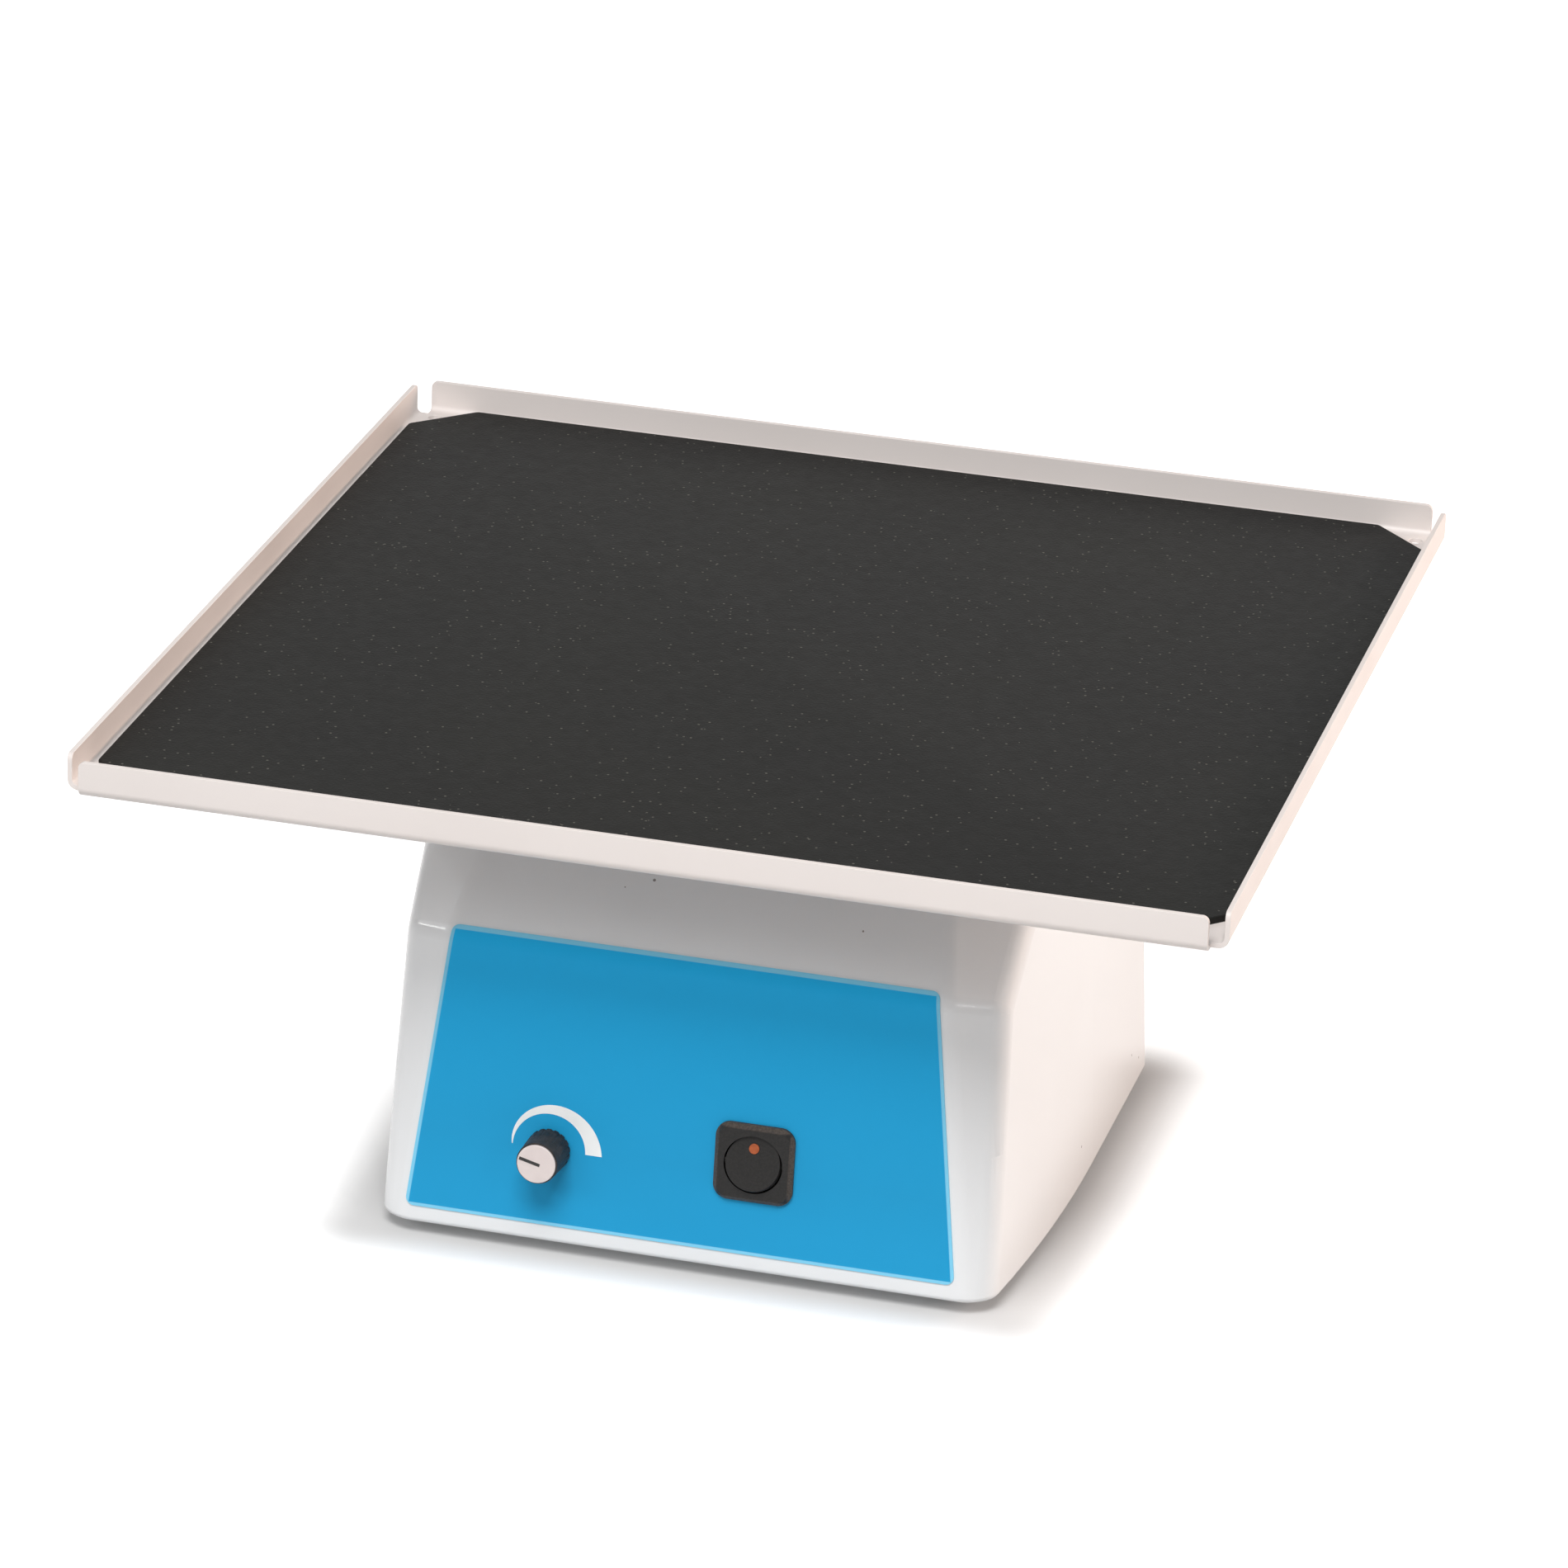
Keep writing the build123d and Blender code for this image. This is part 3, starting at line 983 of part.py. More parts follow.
# Power switch: a square bezel on a boxed body, with a round rocker on two trunnions
BEZEL_FACE = LABEL_T + SWITCH_BEZEL_T
PIVOT_PLANE = SWITCH_PLANE.offset(BEZEL_FACE - ROCKER_SINK)
PIVOT_SIDE = Plane(PIVOT_PLANE.origin, x_dir=PIVOT_PLANE.y_dir, z_dir=PIVOT_PLANE.x_dir)
with BuildPart() as switch_body:
    with BuildSketch(SWITCH_PLANE.offset(LABEL_T)):
        RectangleRounded(SWITCH_BEZEL, SWITCH_BEZEL, SWITCH_BEZEL_R)
    extrude(amount=SWITCH_BEZEL_T)
    chamfer(switch_body.faces().filter_by(GeomType.PLANE).sort_by(SWITCH_AXIS)[-1].edges(), SWITCH_BEZEL_C)
    with BuildSketch(SWITCH_PLANE.offset(LABEL_T)):
        Rectangle(SWITCH_BODY, SWITCH_BODY)
    extrude(amount=-SWITCH_DEPTH)
    with BuildSketch(SWITCH_PLANE.offset(BEZEL_FACE)):
        Circle(SWITCH_HOLE_D / 2)
    extrude(amount=-SWITCH_HOLE_DEPTH, mode=Mode.SUBTRACT)
    with BuildSketch(PIVOT_SIDE):
        Circle(TRUNNION_D / 2 + RUN)
    extrude(amount=TRUNNION_L + FACE_GAP, both=True, mode=Mode.SUBTRACT)
    with BuildSketch(SWITCH_PLANE.offset(LABEL_T - SWITCH_DEPTH)):
        with GridLocations(BLADE_PITCH, BLADE_PITCH, 2, 2):
            Rectangle(BLADE[1], BLADE[0])
    extrude(amount=-BLADE[2])

ROCKER_PLANE = PIVOT_PLANE.rotated((-ROCKER_TILT, 0, 0))
with BuildPart(ROCKER_PLANE) as switch_rocker:
    Sphere(ROCKER_R)
    split(bisect_by=ROCKER_PLANE.offset(ROCKER_HALF_T), keep=Keep.BOTTOM)
    split(bisect_by=ROCKER_PLANE.offset(-ROCKER_HALF_T), keep=Keep.TOP)
    with BuildSketch(PIVOT_SIDE):
        Circle(TRUNNION_D / 2)
    extrude(amount=TRUNNION_L, both=True)
    with BuildSketch(ROCKER_PLANE.offset(ROCKER_HALF_T)):
        with Locations((0, LENS_UP)):
            Circle(LENS_D / 2 + FIT)
    extrude(amount=-LENS_DEPTH, mode=Mode.SUBTRACT)

with BuildPart() as rocker_lens:
    with BuildSketch(ROCKER_PLANE.offset(ROCKER_HALF_T - LENS_DEPTH)):
        with Locations((0, LENS_UP)):
            Circle(LENS_D / 2)
    extrude(amount=LENS_DEPTH + LENS_RISE)

# Mains inlet in the rear wall: flanged body, three pins and two screws
SOCKET_W, SOCKET_H, SOCKET_DEPTH = INLET_SOCKET
SOCKET_FLOOR = INLET_FLANGE[2] - SOCKET_DEPTH
with BuildPart() as mains_inlet:
    with BuildSketch(INLET_PLANE):
        RectangleRounded(INLET_FLANGE[0], INLET_FLANGE[1], INLET_FLANGE_R)
    extrude(amount=INLET_FLANGE[2])
    with BuildSketch(INLET_PLANE):
        Rectangle(INLET_BODY[0], INLET_BODY[1])
    extrude(amount=-INLET_BODY[2])
    with BuildSketch(INLET_PLANE.offset(SOCKET_FLOOR)):
        Rectangle(SOCKET_W, SOCKET_H)
    extrude(amount=SOCKET_DEPTH, mode=Mode.SUBTRACT)
    with BuildSketch(INLET_PLANE.offset(SOCKET_FLOOR)):
        for side in (-1, 1):
            with BuildLine():
                Polyline(
                    (side * SOCKET_W / 2, SOCKET_H / 2),
                    (side * (SOCKET_W / 2 - INLET_SOCKET_CUT), SOCKET_H / 2),
                    (side * SOCKET_W / 2, SOCKET_H / 2 - INLET_SOCKET_CUT),
                    close=True,
                )
            make_face()
    extrude(amount=SOCKET_DEPTH)
    with BuildSketch(INLET_PLANE.offset(SOCKET_FLOOR)):
        with Locations(*INLET_PINS):
            Rectangle(INLET_PIN[0] + 2 * FIT, INLET_PIN[1] + 2 * FIT)
    extrude(amount=-INLET_BODY[2], mode=Mode.SUBTRACT)
    with BuildSketch(INLET_PLANE.offset(INLET_FLANGE[2])):
        with GridLocations(INLET_SCREW_PITCH, 0, 2, 1):
            Circle(M3[0] / 2 + SCREW_GAP)
    extrude(amount=-INLET_FLANGE[2], mode=Mode.SUBTRACT)
    with BuildSketch(INLET_PLANE.offset(INLET_FLANGE[2])):
        with GridLocations(INLET_SCREW_PITCH, 0, 2, 1):
            Circle(M3[1] / 2 + SCREW_GAP)
    extrude(amount=-(M3[1] - M3[0]) / 2, taper=HEAD_ANGLE, mode=Mode.SUBTRACT)

with BuildPart() as inlet_pins:
    with BuildSketch(INLET_PLANE.offset(-INLET_BODY[2] - INLET_TAIL)):
        with Locations(*INLET_PINS):
            Rectangle(INLET_PIN[0], INLET_PIN[1])
    extrude(amount=INLET_TAIL + INLET_BODY[2] + SOCKET_FLOOR + INLET_PIN[2])

INLET_SCREW_PLACES = [(-INLET_SCREW_PITCH / 2, 0), (INLET_SCREW_PITCH / 2, 0)]
inlet_screws = flush_screws(INLET_PLANE.offset(INLET_FLANGE[2]), INLET_SCREW_PLACES, M3, INLET_SCREW_L)

# Control board on its standoffs, with a heat sink at its front edge
with BuildPart() as board_standoffs:
    with BuildSketch(Plane.XY.offset(BASE_TOP)):
        with Locations(*BOARD_HOLES):
            RegularPolygon(STANDOFF_D / 2, 6)
    extrude(amount=BOARD_LIFT)
    boss(BOARD_HOLES, M3[0] / 2 + FIT, BASE_TOP + BOARD_LIFT / 2, BOARD_LIFT / 2, Mode.SUBTRACT)
    boss(BOARD_HOLES, M3[0] / 2, FOOT_H, BASE_T)

with BuildPart() as control_board:
    with BuildSketch(Plane.XY.offset(BOARD_Z)):
        with Locations(BOARD_AT):
            RectangleRounded(BOARD[0], BOARD[1], BOARD_CORNER_R)
        with Locations(*BOARD_HOLES):
            Circle(M3[0] / 2 + SCREW_GAP, mode=Mode.SUBTRACT)
    extrude(amount=BOARD[2])

board_screws = cap_screws(Plane.XY.offset(BOARD_TOP), BOARD_HOLES, M3, BOARD[2] + BOARD_LIFT / 2 - FACE_GAP)

SINK_W = (SINK_FINS - 1) * SINK_FIN_PITCH + SINK_FIN_T
SINK_AT = (BOARD_AT[0], BOARD_AT[1] - BOARD[1] / 2 + SINK_DEPTH)
with BuildPart() as heat_sink:
    with BuildSketch(Plane.XY.offset(BOARD_TOP)):
        with Locations(SINK_AT):
            Rectangle(SINK_W, SINK_BASE_T, align=(Align.CENTER, Align.MAX))
            with Locations((0, -SINK_DEPTH / 2)):
                with GridLocations(SINK_FIN_PITCH, 0, SINK_FINS, 1):
                    Rectangle(SINK_FIN_T, SINK_DEPTH)
    extrude(amount=SINK_H)

with BuildPart() as board_components:
    with BuildSketch(Plane.XY.offset(BOARD_TOP)):
        with Locations((BOARD_AT[0] - CAPACITOR_D, BOARD_AT[1] + CAPACITOR_D / 2)):
            Circle(CAPACITOR_D / 2)
    extrude(amount=CAPACITOR_H)
    fillet(board_components.faces().sort_by(Axis.Z)[-1].edges(), POT_EDGE_R)
    with BuildSketch(Plane.XY.offset(BOARD_TOP)):
        with Locations((BOARD_AT[0], SINK_AT[1] + TRANSISTOR[1] / 2)):
            Rectangle(TRANSISTOR[0], TRANSISTOR[1])
    extrude(amount=TRANSISTOR[2])
    with BuildSketch(Plane.XY.offset(BOARD_TOP)):
        with Locations((BOARD_AT[0] + CAPACITOR_D, BOARD_AT[1] + CAPACITOR_D / 2)):
            Rectangle(TERMINAL[0], TERMINAL[1])
    extrude(amount=TERMINAL[2])

# Transformer: laminated core with two windows, the coil round its middle leg, and the strap
CORE_SIDE = Plane((CORE_X, CORE_AT[1], BASE_TOP), x_dir=(1, 0, 0), z_dir=(0, -1, 0))
WINDOW_W = (CORE[0] - 4 * CORE_LEG) / 2
WINDOW_H = CORE[2] - 2 * CORE_LEG
with BuildPart() as transformer_core:
    with BuildSketch(CORE_SIDE):
        Rectangle(CORE[0], CORE[2], align=(Align.CENTER, Align.MIN))
        with Locations((0, CORE[2] / 2)):
            with GridLocations(2 * CORE_LEG + WINDOW_W, 0, 2, 1):
                Rectangle(WINDOW_W, WINDOW_H, mode=Mode.SUBTRACT)
    extrude(amount=CORE[1] / 2, both=True)

with BuildPart() as transformer_coil:
    with BuildSketch(Plane.XY.offset(BASE_TOP + CORE_LEG + COIL_GAP)):
        with Locations(CORE_AT):
            RectangleRounded(2 * (CORE_LEG + WINDOW_W - COIL_GAP), COIL_DEPTH, CORE_LEG / 2)
            Rectangle(2 * (CORE_LEG + COIL_GAP), CORE[1] + 2 * COIL_GAP, mode=Mode.SUBTRACT)
    extrude(amount=WINDOW_H - 2 * COIL_GAP)

STRAP_MID = (CORE[0] + STRAP_T) / 2 + FACE_GAP
STRAP_TOP_Z = BASE_TOP + CORE[2] + STRAP_T / 2 + FACE_GAP
STRAP_FOOT_Z = BASE_TOP + STRAP_T / 2
transformer_strap = bent_strip(
    [
        (-STRAP_MID - STRAP_FOOT, STRAP_FOOT_Z),
        (-STRAP_MID, STRAP_FOOT_Z),
        (-STRAP_MID, STRAP_TOP_Z),
        (STRAP_MID, STRAP_TOP_Z),
        (STRAP_MID, STRAP_FOOT_Z),
        (STRAP_MID + STRAP_FOOT, STRAP_FOOT_Z),
    ],
    STRAP_T,
    STRAP_BEND_R,
    Plane((CORE_X, CORE_AT[1], 0), x_dir=(1, 0, 0), z_dir=(0, -1, 0)),
    STRAP_W,
)
with transformer_strap:
    drill(Plane.XY.offset(BASE_TOP + STRAP_T), STRAP_SCREWS, M3[0] / 2 + SCREW_GAP, STRAP_T)

strap_screws = cap_screws(Plane.XY.offset(BASE_TOP + STRAP_T), STRAP_SCREWS, M3, STRAP_T + BASE_T)

pieces = {
    "housing_shell": housing_shell,
    "base_plate": base_plate,
    "rubber_feet": rubber_feet,
    "foot_screws": foot_screws,
    "support_pillars": support_pillars,
    "pillar_screws": pillar_screws,
    "drive_plate": drive_plate,
    "main_bearing_housing": main_bearing_housing,
    "bearing_housing_screws": bearing_housing_screws,
    "main_bearings": main_bearings,
    "idler_bearing_cups": idler_bearing_cups,
    "idler_lower_bearings": idler_lower_bearings,
    "main_shaft": main_shaft,
    "eccentric_crank": eccentric_crank,
    "counterweight": counterweight,
    "counterweight_screws": counterweight_screws,
    "driven_pulley": driven_pulley,
    "pulley_grub_screw": pulley_grub_screw,
    "drive_belt": drive_belt,
    "drive_motor": drive_motor,
    "motor_bracket": motor_bracket,
    "motor_screws": motor_screws,
    "bracket_screws": bracket_screws,
    "motor_shaft": motor_shaft,
    "motor_pulley": motor_pulley,
    "carriage": carriage,
    "carriage_bearing": carriage_bearing,
    "carriage_idler_bearings": carriage_idler_bearings,
    "tray": tray,
    "tray_screws": tray_screws,
    "mat": mat,
    "front_label": front_label,
    "speed_potentiometer": speed_potentiometer,
    "potentiometer_nut": potentiometer_nut,
    "potentiometer_shaft": potentiometer_shaft,
    "knob_body": knob_body,
    "knob_cap": knob_cap,
    "knob_pointer": knob_pointer,
    "switch_body": switch_body,
    "switch_rocker": switch_rocker,
    "rocker_lens": rocker_lens,
    "mains_inlet": mains_inlet,
    "inlet_pins": inlet_pins,
    "inlet_screws": inlet_screws,
    "control_board": control_board,
    "board_standoffs": board_standoffs,
    "board_screws": board_screws,
    "board_components": board_components,
    "heat_sink": heat_sink,
    "transformer_core": transformer_core,
    "transformer_coil": transformer_coil,
    "transformer_strap": transformer_strap,
    "strap_screws": strap_screws,
}
for side, crank in idler_cranks.items():
    pieces[f"idler_crank_{side}"] = crank

os.makedirs("parts", exist_ok=True)
for name, piece in pieces.items():
    piece.part.label = name
    export_step(piece.part, f"parts/{name}.step")
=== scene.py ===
import json
from math import cos, pi, radians, sin

import bmesh
import bpy
import numpy as np
from mathutils import Matrix, Vector


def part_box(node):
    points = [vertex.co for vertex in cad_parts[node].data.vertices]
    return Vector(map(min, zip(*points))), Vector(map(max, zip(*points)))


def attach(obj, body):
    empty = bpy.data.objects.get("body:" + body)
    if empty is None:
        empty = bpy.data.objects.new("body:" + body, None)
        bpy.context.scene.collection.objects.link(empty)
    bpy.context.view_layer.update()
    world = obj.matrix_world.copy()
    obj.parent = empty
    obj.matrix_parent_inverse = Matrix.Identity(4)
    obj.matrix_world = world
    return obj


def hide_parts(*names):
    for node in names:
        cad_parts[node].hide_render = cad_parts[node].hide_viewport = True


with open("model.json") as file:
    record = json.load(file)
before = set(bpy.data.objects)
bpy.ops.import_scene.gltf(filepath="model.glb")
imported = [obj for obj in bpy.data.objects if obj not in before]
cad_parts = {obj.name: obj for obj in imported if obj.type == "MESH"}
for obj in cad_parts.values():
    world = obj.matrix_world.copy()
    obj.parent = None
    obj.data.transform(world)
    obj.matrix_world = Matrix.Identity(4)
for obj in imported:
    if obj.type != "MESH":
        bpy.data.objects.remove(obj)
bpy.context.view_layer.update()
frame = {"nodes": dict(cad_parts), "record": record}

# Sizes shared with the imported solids, in metres
MM = 0.001
AXIS_Y = -8 * MM
FACE_FOOT = np.array([0.0, -102 * MM, 4.5 * MM])
FACE_LEAN = radians(5.4)
FACE_UP = np.array([0.0, sin(FACE_LEAN), cos(FACE_LEAN)])
FACE_OUT = np.array([0.0, -cos(FACE_LEAN), sin(FACE_LEAN)])
ACROSS = np.array([1.0, 0.0, 0.0])
KNOB_ACROSS = -41.5 * MM
KNOB_UP = 29.1 * MM
SWITCH_ACROSS = 20.5 * MM
SWITCH_UP = 34.3 * MM

# The printed film: its outline on the face, and the bend of the housing that its top wraps over
FILM_T = 0.4 * MM
FILM_HALF_W = 83.9 * MM
FILM_TAPER = 0.1175
FILM_SHIFT = 1.3 * MM
FILM_FOOT = 5.5 * MM
FILM_TOP = 93.5 * MM
FILM_RAISE = 3.9 * MM
BEND_AT = 88.2 * MM
BEND_R = 9 * MM
BEND_TURN = radians(33.3)
BEND_CUTS = 14
BEND_STEP = 0.5 * MM


# Mesh making: every new piece is rings of points carried along a path
def link(name, vertices, faces):
    """Object of the given name from whole arrays of points and faces, at the origin."""
    mesh = bpy.data.meshes.new(name)
    mesh.from_pydata(vertices, [], faces)
    mesh.validate()
    piece = bpy.data.objects.new(name, mesh)
    bpy.context.scene.collection.objects.link(piece)
    return piece


def skin(name, rings, smooth):
    """Closed surface through rings[path, profile, xyz]: quads (i, j) to (i+1, j+1), and two end caps."""
    count, around, _ = rings.shape
    i, j = np.meshgrid(np.arange(count - 1), np.arange(around), indexing="ij")
    beside = (j + 1) % around
    corners = (i * around + j, i * around + beside, (i + 1) * around + beside, (i + 1) * around + j)
    faces = np.stack(corners, axis=-1).reshape(-1, 4).tolist()
    faces.append(list(range(around))[::-1])
    faces.append(list(range((count - 1) * around, count * around)))
    piece = link(name, rings.reshape(-1, 3).tolist(), faces)
    shade(piece, smooth)
    return piece


def shade(piece, angle):
    """Turn the faces outwards and smooth every edge that bends less than the angle."""
    made = bmesh.new()
    made.from_mesh(piece.data)
    bmesh.ops.recalc_face_normals(made, faces=made.faces)
    for face in made.faces:
        face.smooth = True
    for edge in made.edges:
        edge.smooth = len(edge.link_faces) == 2 and edge.calc_face_angle(pi) < radians(angle)
    made.to_mesh(piece.data)
    made.free()


def merged_copy(node, name):
    """Copy of a CAD node with its triangles joined and its flat faces made whole; it replaces the node."""
    piece = bpy.data.objects.new(name, frame["nodes"][node].data.copy())
    bpy.context.scene.collection.objects.link(piece)
    made = bmesh.new()
    made.from_mesh(piece.data)
    bmesh.ops.remove_doubles(made, verts=made.verts, dist=0.002 * MM)
    bmesh.ops.dissolve_limit(made, angle_limit=radians(0.5), verts=made.verts, edges=made.edges)
    made.to_mesh(piece.data)
    made.free()
    piece.data.attributes.remove(piece.data.attributes["custom_normal"])
    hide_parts(node)
    return piece


def softened(node, name, edge_mm, angle=30):
    """Merged copy of a CAD node whose sharp edges get a small round of the given width."""
    piece = merged_copy(node, name)
    shade(piece, angle)
    rounds = piece.modifiers.new("rounded_edges", "BEVEL")
    rounds.width = edge_mm * MM
    rounds.segments = 2
    rounds.limit_method = "ANGLE"
    rounds.angle_limit = radians(angle)
    rounds.harden_normals = True
    return piece


# Materials
def linear(code):
    """Linear RGBA of an sRGB hex colour."""
    parts = [int(code[i:i + 2], 16) / 255 for i in (1, 3, 5)]
    return [p / 12.92 if p <= 0.04045 else ((p + 0.055) / 1.055) ** 2.4 for p in parts] + [1.0]


def add(tree, kind, inputs, **settings):
    """Add a node: inputs are values, or output sockets to link from; settings are its properties."""
    made = tree.nodes.new("ShaderNode" + kind)
    for name, value in settings.items():
        setattr(made, name, value)
    for name, value in inputs.items():
        if isinstance(value, bpy.types.NodeSocket):
            tree.links.new(value, made.inputs[name])
        else:
            made.inputs[name].default_value = value
    return made


def new_surface(name, colour, roughness, **sockets):
    """A material with its Principled shader, and the object's own coordinates in metres."""
    material = bpy.data.materials.new(name)
    material.use_nodes = True
    tree = material.node_tree
    shader = tree.nodes["Principled BSDF"]
    shader.inputs["Base Color"].default_value = linear(colour)
    shader.inputs["Roughness"].default_value = roughness
    for socket, value in sockets.items():
        shader.inputs[socket.replace("_", " ")].default_value = value
    place = add(tree, "TexCoord", {}).outputs["Object"]
    return material, tree, shader, place


def per_mm(size):
    """Noise scale for features of the given size in millimetres."""
    return 1000 / size


def cloud(tree, place, size, detail=2.0):
    """Soft noise with blotches of the given size in millimetres."""
    return add(tree, "TexNoise", {"Vector": place, "Scale": per_mm(size), "Detail": detail}).outputs["Fac"]


def blend_colours(tree, share, low, high, start=0.35, end=0.65):
    """Colour from low to high as the share goes from start to end."""
    ramp = add(tree, "ValToRGB", {"Fac": share})
    ramp.color_ramp.elements[0].position = start
    ramp.color_ramp.elements[1].position = end
    ramp.color_ramp.elements[0].color = linear(low)
    ramp.color_ramp.elements[1].color = linear(high)
    return ramp.outputs["Color"]


def rough_between(tree, shader, share, low, high, start=0.3, end=0.7):
    """Roughness from low to high as the share goes from start to end."""
    spans = {"Value": share, "From Min": start, "From Max": end, "To Min": low, "To Max": high}
    tree.links.new(add(tree, "MapRange", spans).outputs["Result"], shader.inputs["Roughness"])


def emboss(tree, shader, height, depth_mm):
    """Bump of the given depth in millimetres."""
    bump = add(tree, "Bump", {"Height": height, "Strength": 1.0, "Distance": depth_mm * MM})
    tree.links.new(bump.outputs["Normal"], shader.inputs["Normal"])


def specks(tree, place, ground, colour, cell, size, share, channel):
    """Small dots of a colour over the ground: one for each cell, of which the given share is drawn."""
    cells = add(tree, "TexVoronoi", {"Vector": place, "Scale": per_mm(cell)})
    near = add(tree, "Math", {0: cells.outputs["Distance"], 1: size / cell}, operation="LESS_THAN")
    chosen = add(tree, "SeparateColor", {"Color": cells.outputs["Color"]}).outputs[channel]
    few = add(tree, "Math", {0: chosen, 1: share}, operation="LESS_THAN")
    dot = add(tree, "Math", {0: near.outputs["Value"], 1: few.outputs["Value"]}, operation="MULTIPLY")
    spotted = {"Factor": dot.outputs["Value"], "A": ground, "B": linear(colour)}
    return add(tree, "Mix", spotted, data_type="RGBA").outputs["Result"]


def on_slope(tree, place, origin):
    """Distances in metres from an origin on the sloping face: across it, and up it."""
    local = add(tree, "VectorMath", {0: place, 1: tuple(-origin)}, operation="ADD").outputs["Vector"]
    up = add(tree, "VectorMath", {0: local, 1: tuple(FACE_UP)}, operation="DOT_PRODUCT").outputs["Value"]
    across = add(tree, "SeparateXYZ", {"Vector": local}).outputs["X"]
    return across, up


def moulded(name, low, high, roughness, grain, depth, blotch=30.0, **sockets):
    """Moulded or painted surface: two close shades in blotches, and a fine grain in relief."""
    material, tree, shader, place = new_surface(name, low, roughness, **sockets)
    colour = blend_colours(tree, cloud(tree, place, blotch), low, high)
    tree.links.new(colour, shader.inputs["Base Color"])
    rough_between(tree, shader, cloud(tree, place, blotch / 3), roughness - 0.05, roughness + 0.05)
    emboss(tree, shader, cloud(tree, place, grain), depth)
    return material


def machined(tree, shader, lines, low, high, roughness, depth):
    """Tool marks: the lines change the colour, the roughness and the relief together."""
    tree.links.new(blend_colours(tree, lines, low, high), shader.inputs["Base Color"])
    rough_between(tree, shader, lines, roughness - 0.08, roughness + 0.08)
    emboss(tree, shader, lines, depth)


def turned(name, low, high, roughness, centre, pitch=0.8, depth=0.01):
    """Lathe-turned metal: fine rings round a vertical axis through the centre."""
    material, tree, shader, place = new_surface(name, low, roughness, Metallic=1.0)
    moved = add(tree, "Mapping", {"Vector": place, "Location": (-centre[0], -centre[1], 0)})
    flat = add(tree, "VectorMath", {0: moved.outputs["Vector"], 1: (1, 1, 0)}, operation="MULTIPLY")
    radius = add(tree, "VectorMath", {0: flat.outputs["Vector"]}, operation="LENGTH")
    spread = {"W": radius.outputs["Value"], "Scale": per_mm(pitch), "Detail": 4.0}
    rings = add(tree, "TexNoise", spread, noise_dimensions="1D").outputs["Fac"]
    machined(tree, shader, rings, low, high, roughness, depth)
    return material


def brushed(name, low, high, roughness, stretch=(1, 25, 25), pitch=12.0, depth=0.006):
    """Rolled or milled metal: short lines that run one way."""
    material, tree, shader, place = new_surface(name, low, roughness, Metallic=1.0)
    drawn = add(tree, "Mapping", {"Vector": place, "Scale": stretch}).outputs["Vector"]
    machined(tree, shader, cloud(tree, drawn, pitch, 4.0), low, high, roughness, depth)
    return material


def housing_finish():
    """Foam moulding under gloss paint: soft 2 mm orange peel in the highlights, and a few dark specks."""
    material, tree, shader, place = new_surface("gloss_painted_moulding", "#eaebec", 0.34)
    shader.inputs["Coat Weight"].default_value = 0.5
    shader.inputs["Coat Roughness"].default_value = 0.06
    paint = blend_colours(tree, cloud(tree, place, 70.0), "#e8e9ea", "#ebeced")
    spotted = specks(tree, place, paint, "#8d8683", cell=9.0, size=0.45, share=0.2, channel="Red")
    tree.links.new(spotted, shader.inputs["Base Color"])
    rough_between(tree, shader, cloud(tree, place, 40.0), 0.32, 0.38)
    emboss(tree, shader, cloud(tree, place, 2.2, 1.0), 0.006)
    return material


def mat_finish():
    """Calendered rubber: dull near black, pebbled at 0.9 mm; pale dust is drawn coarse enough to show."""
    material, tree, shader, place = new_surface("calendered_rubber_sheet", "#161615", 0.7)
    shader.inputs["Specular IOR Level"].default_value = 0.2
    rubber = blend_colours(tree, cloud(tree, place, 90.0), "#121211", "#151513")
    spotted = specks(tree, place, rubber, "#56554f", cell=2.6, size=0.364, share=0.45, channel="Green")
    tree.links.new(spotted, shader.inputs["Base Color"])
    rough_between(tree, shader, cloud(tree, place, 4.0), 0.66, 0.72)
    emboss(tree, shader, cloud(tree, place, 0.9, 1.0), 0.12)
    return material


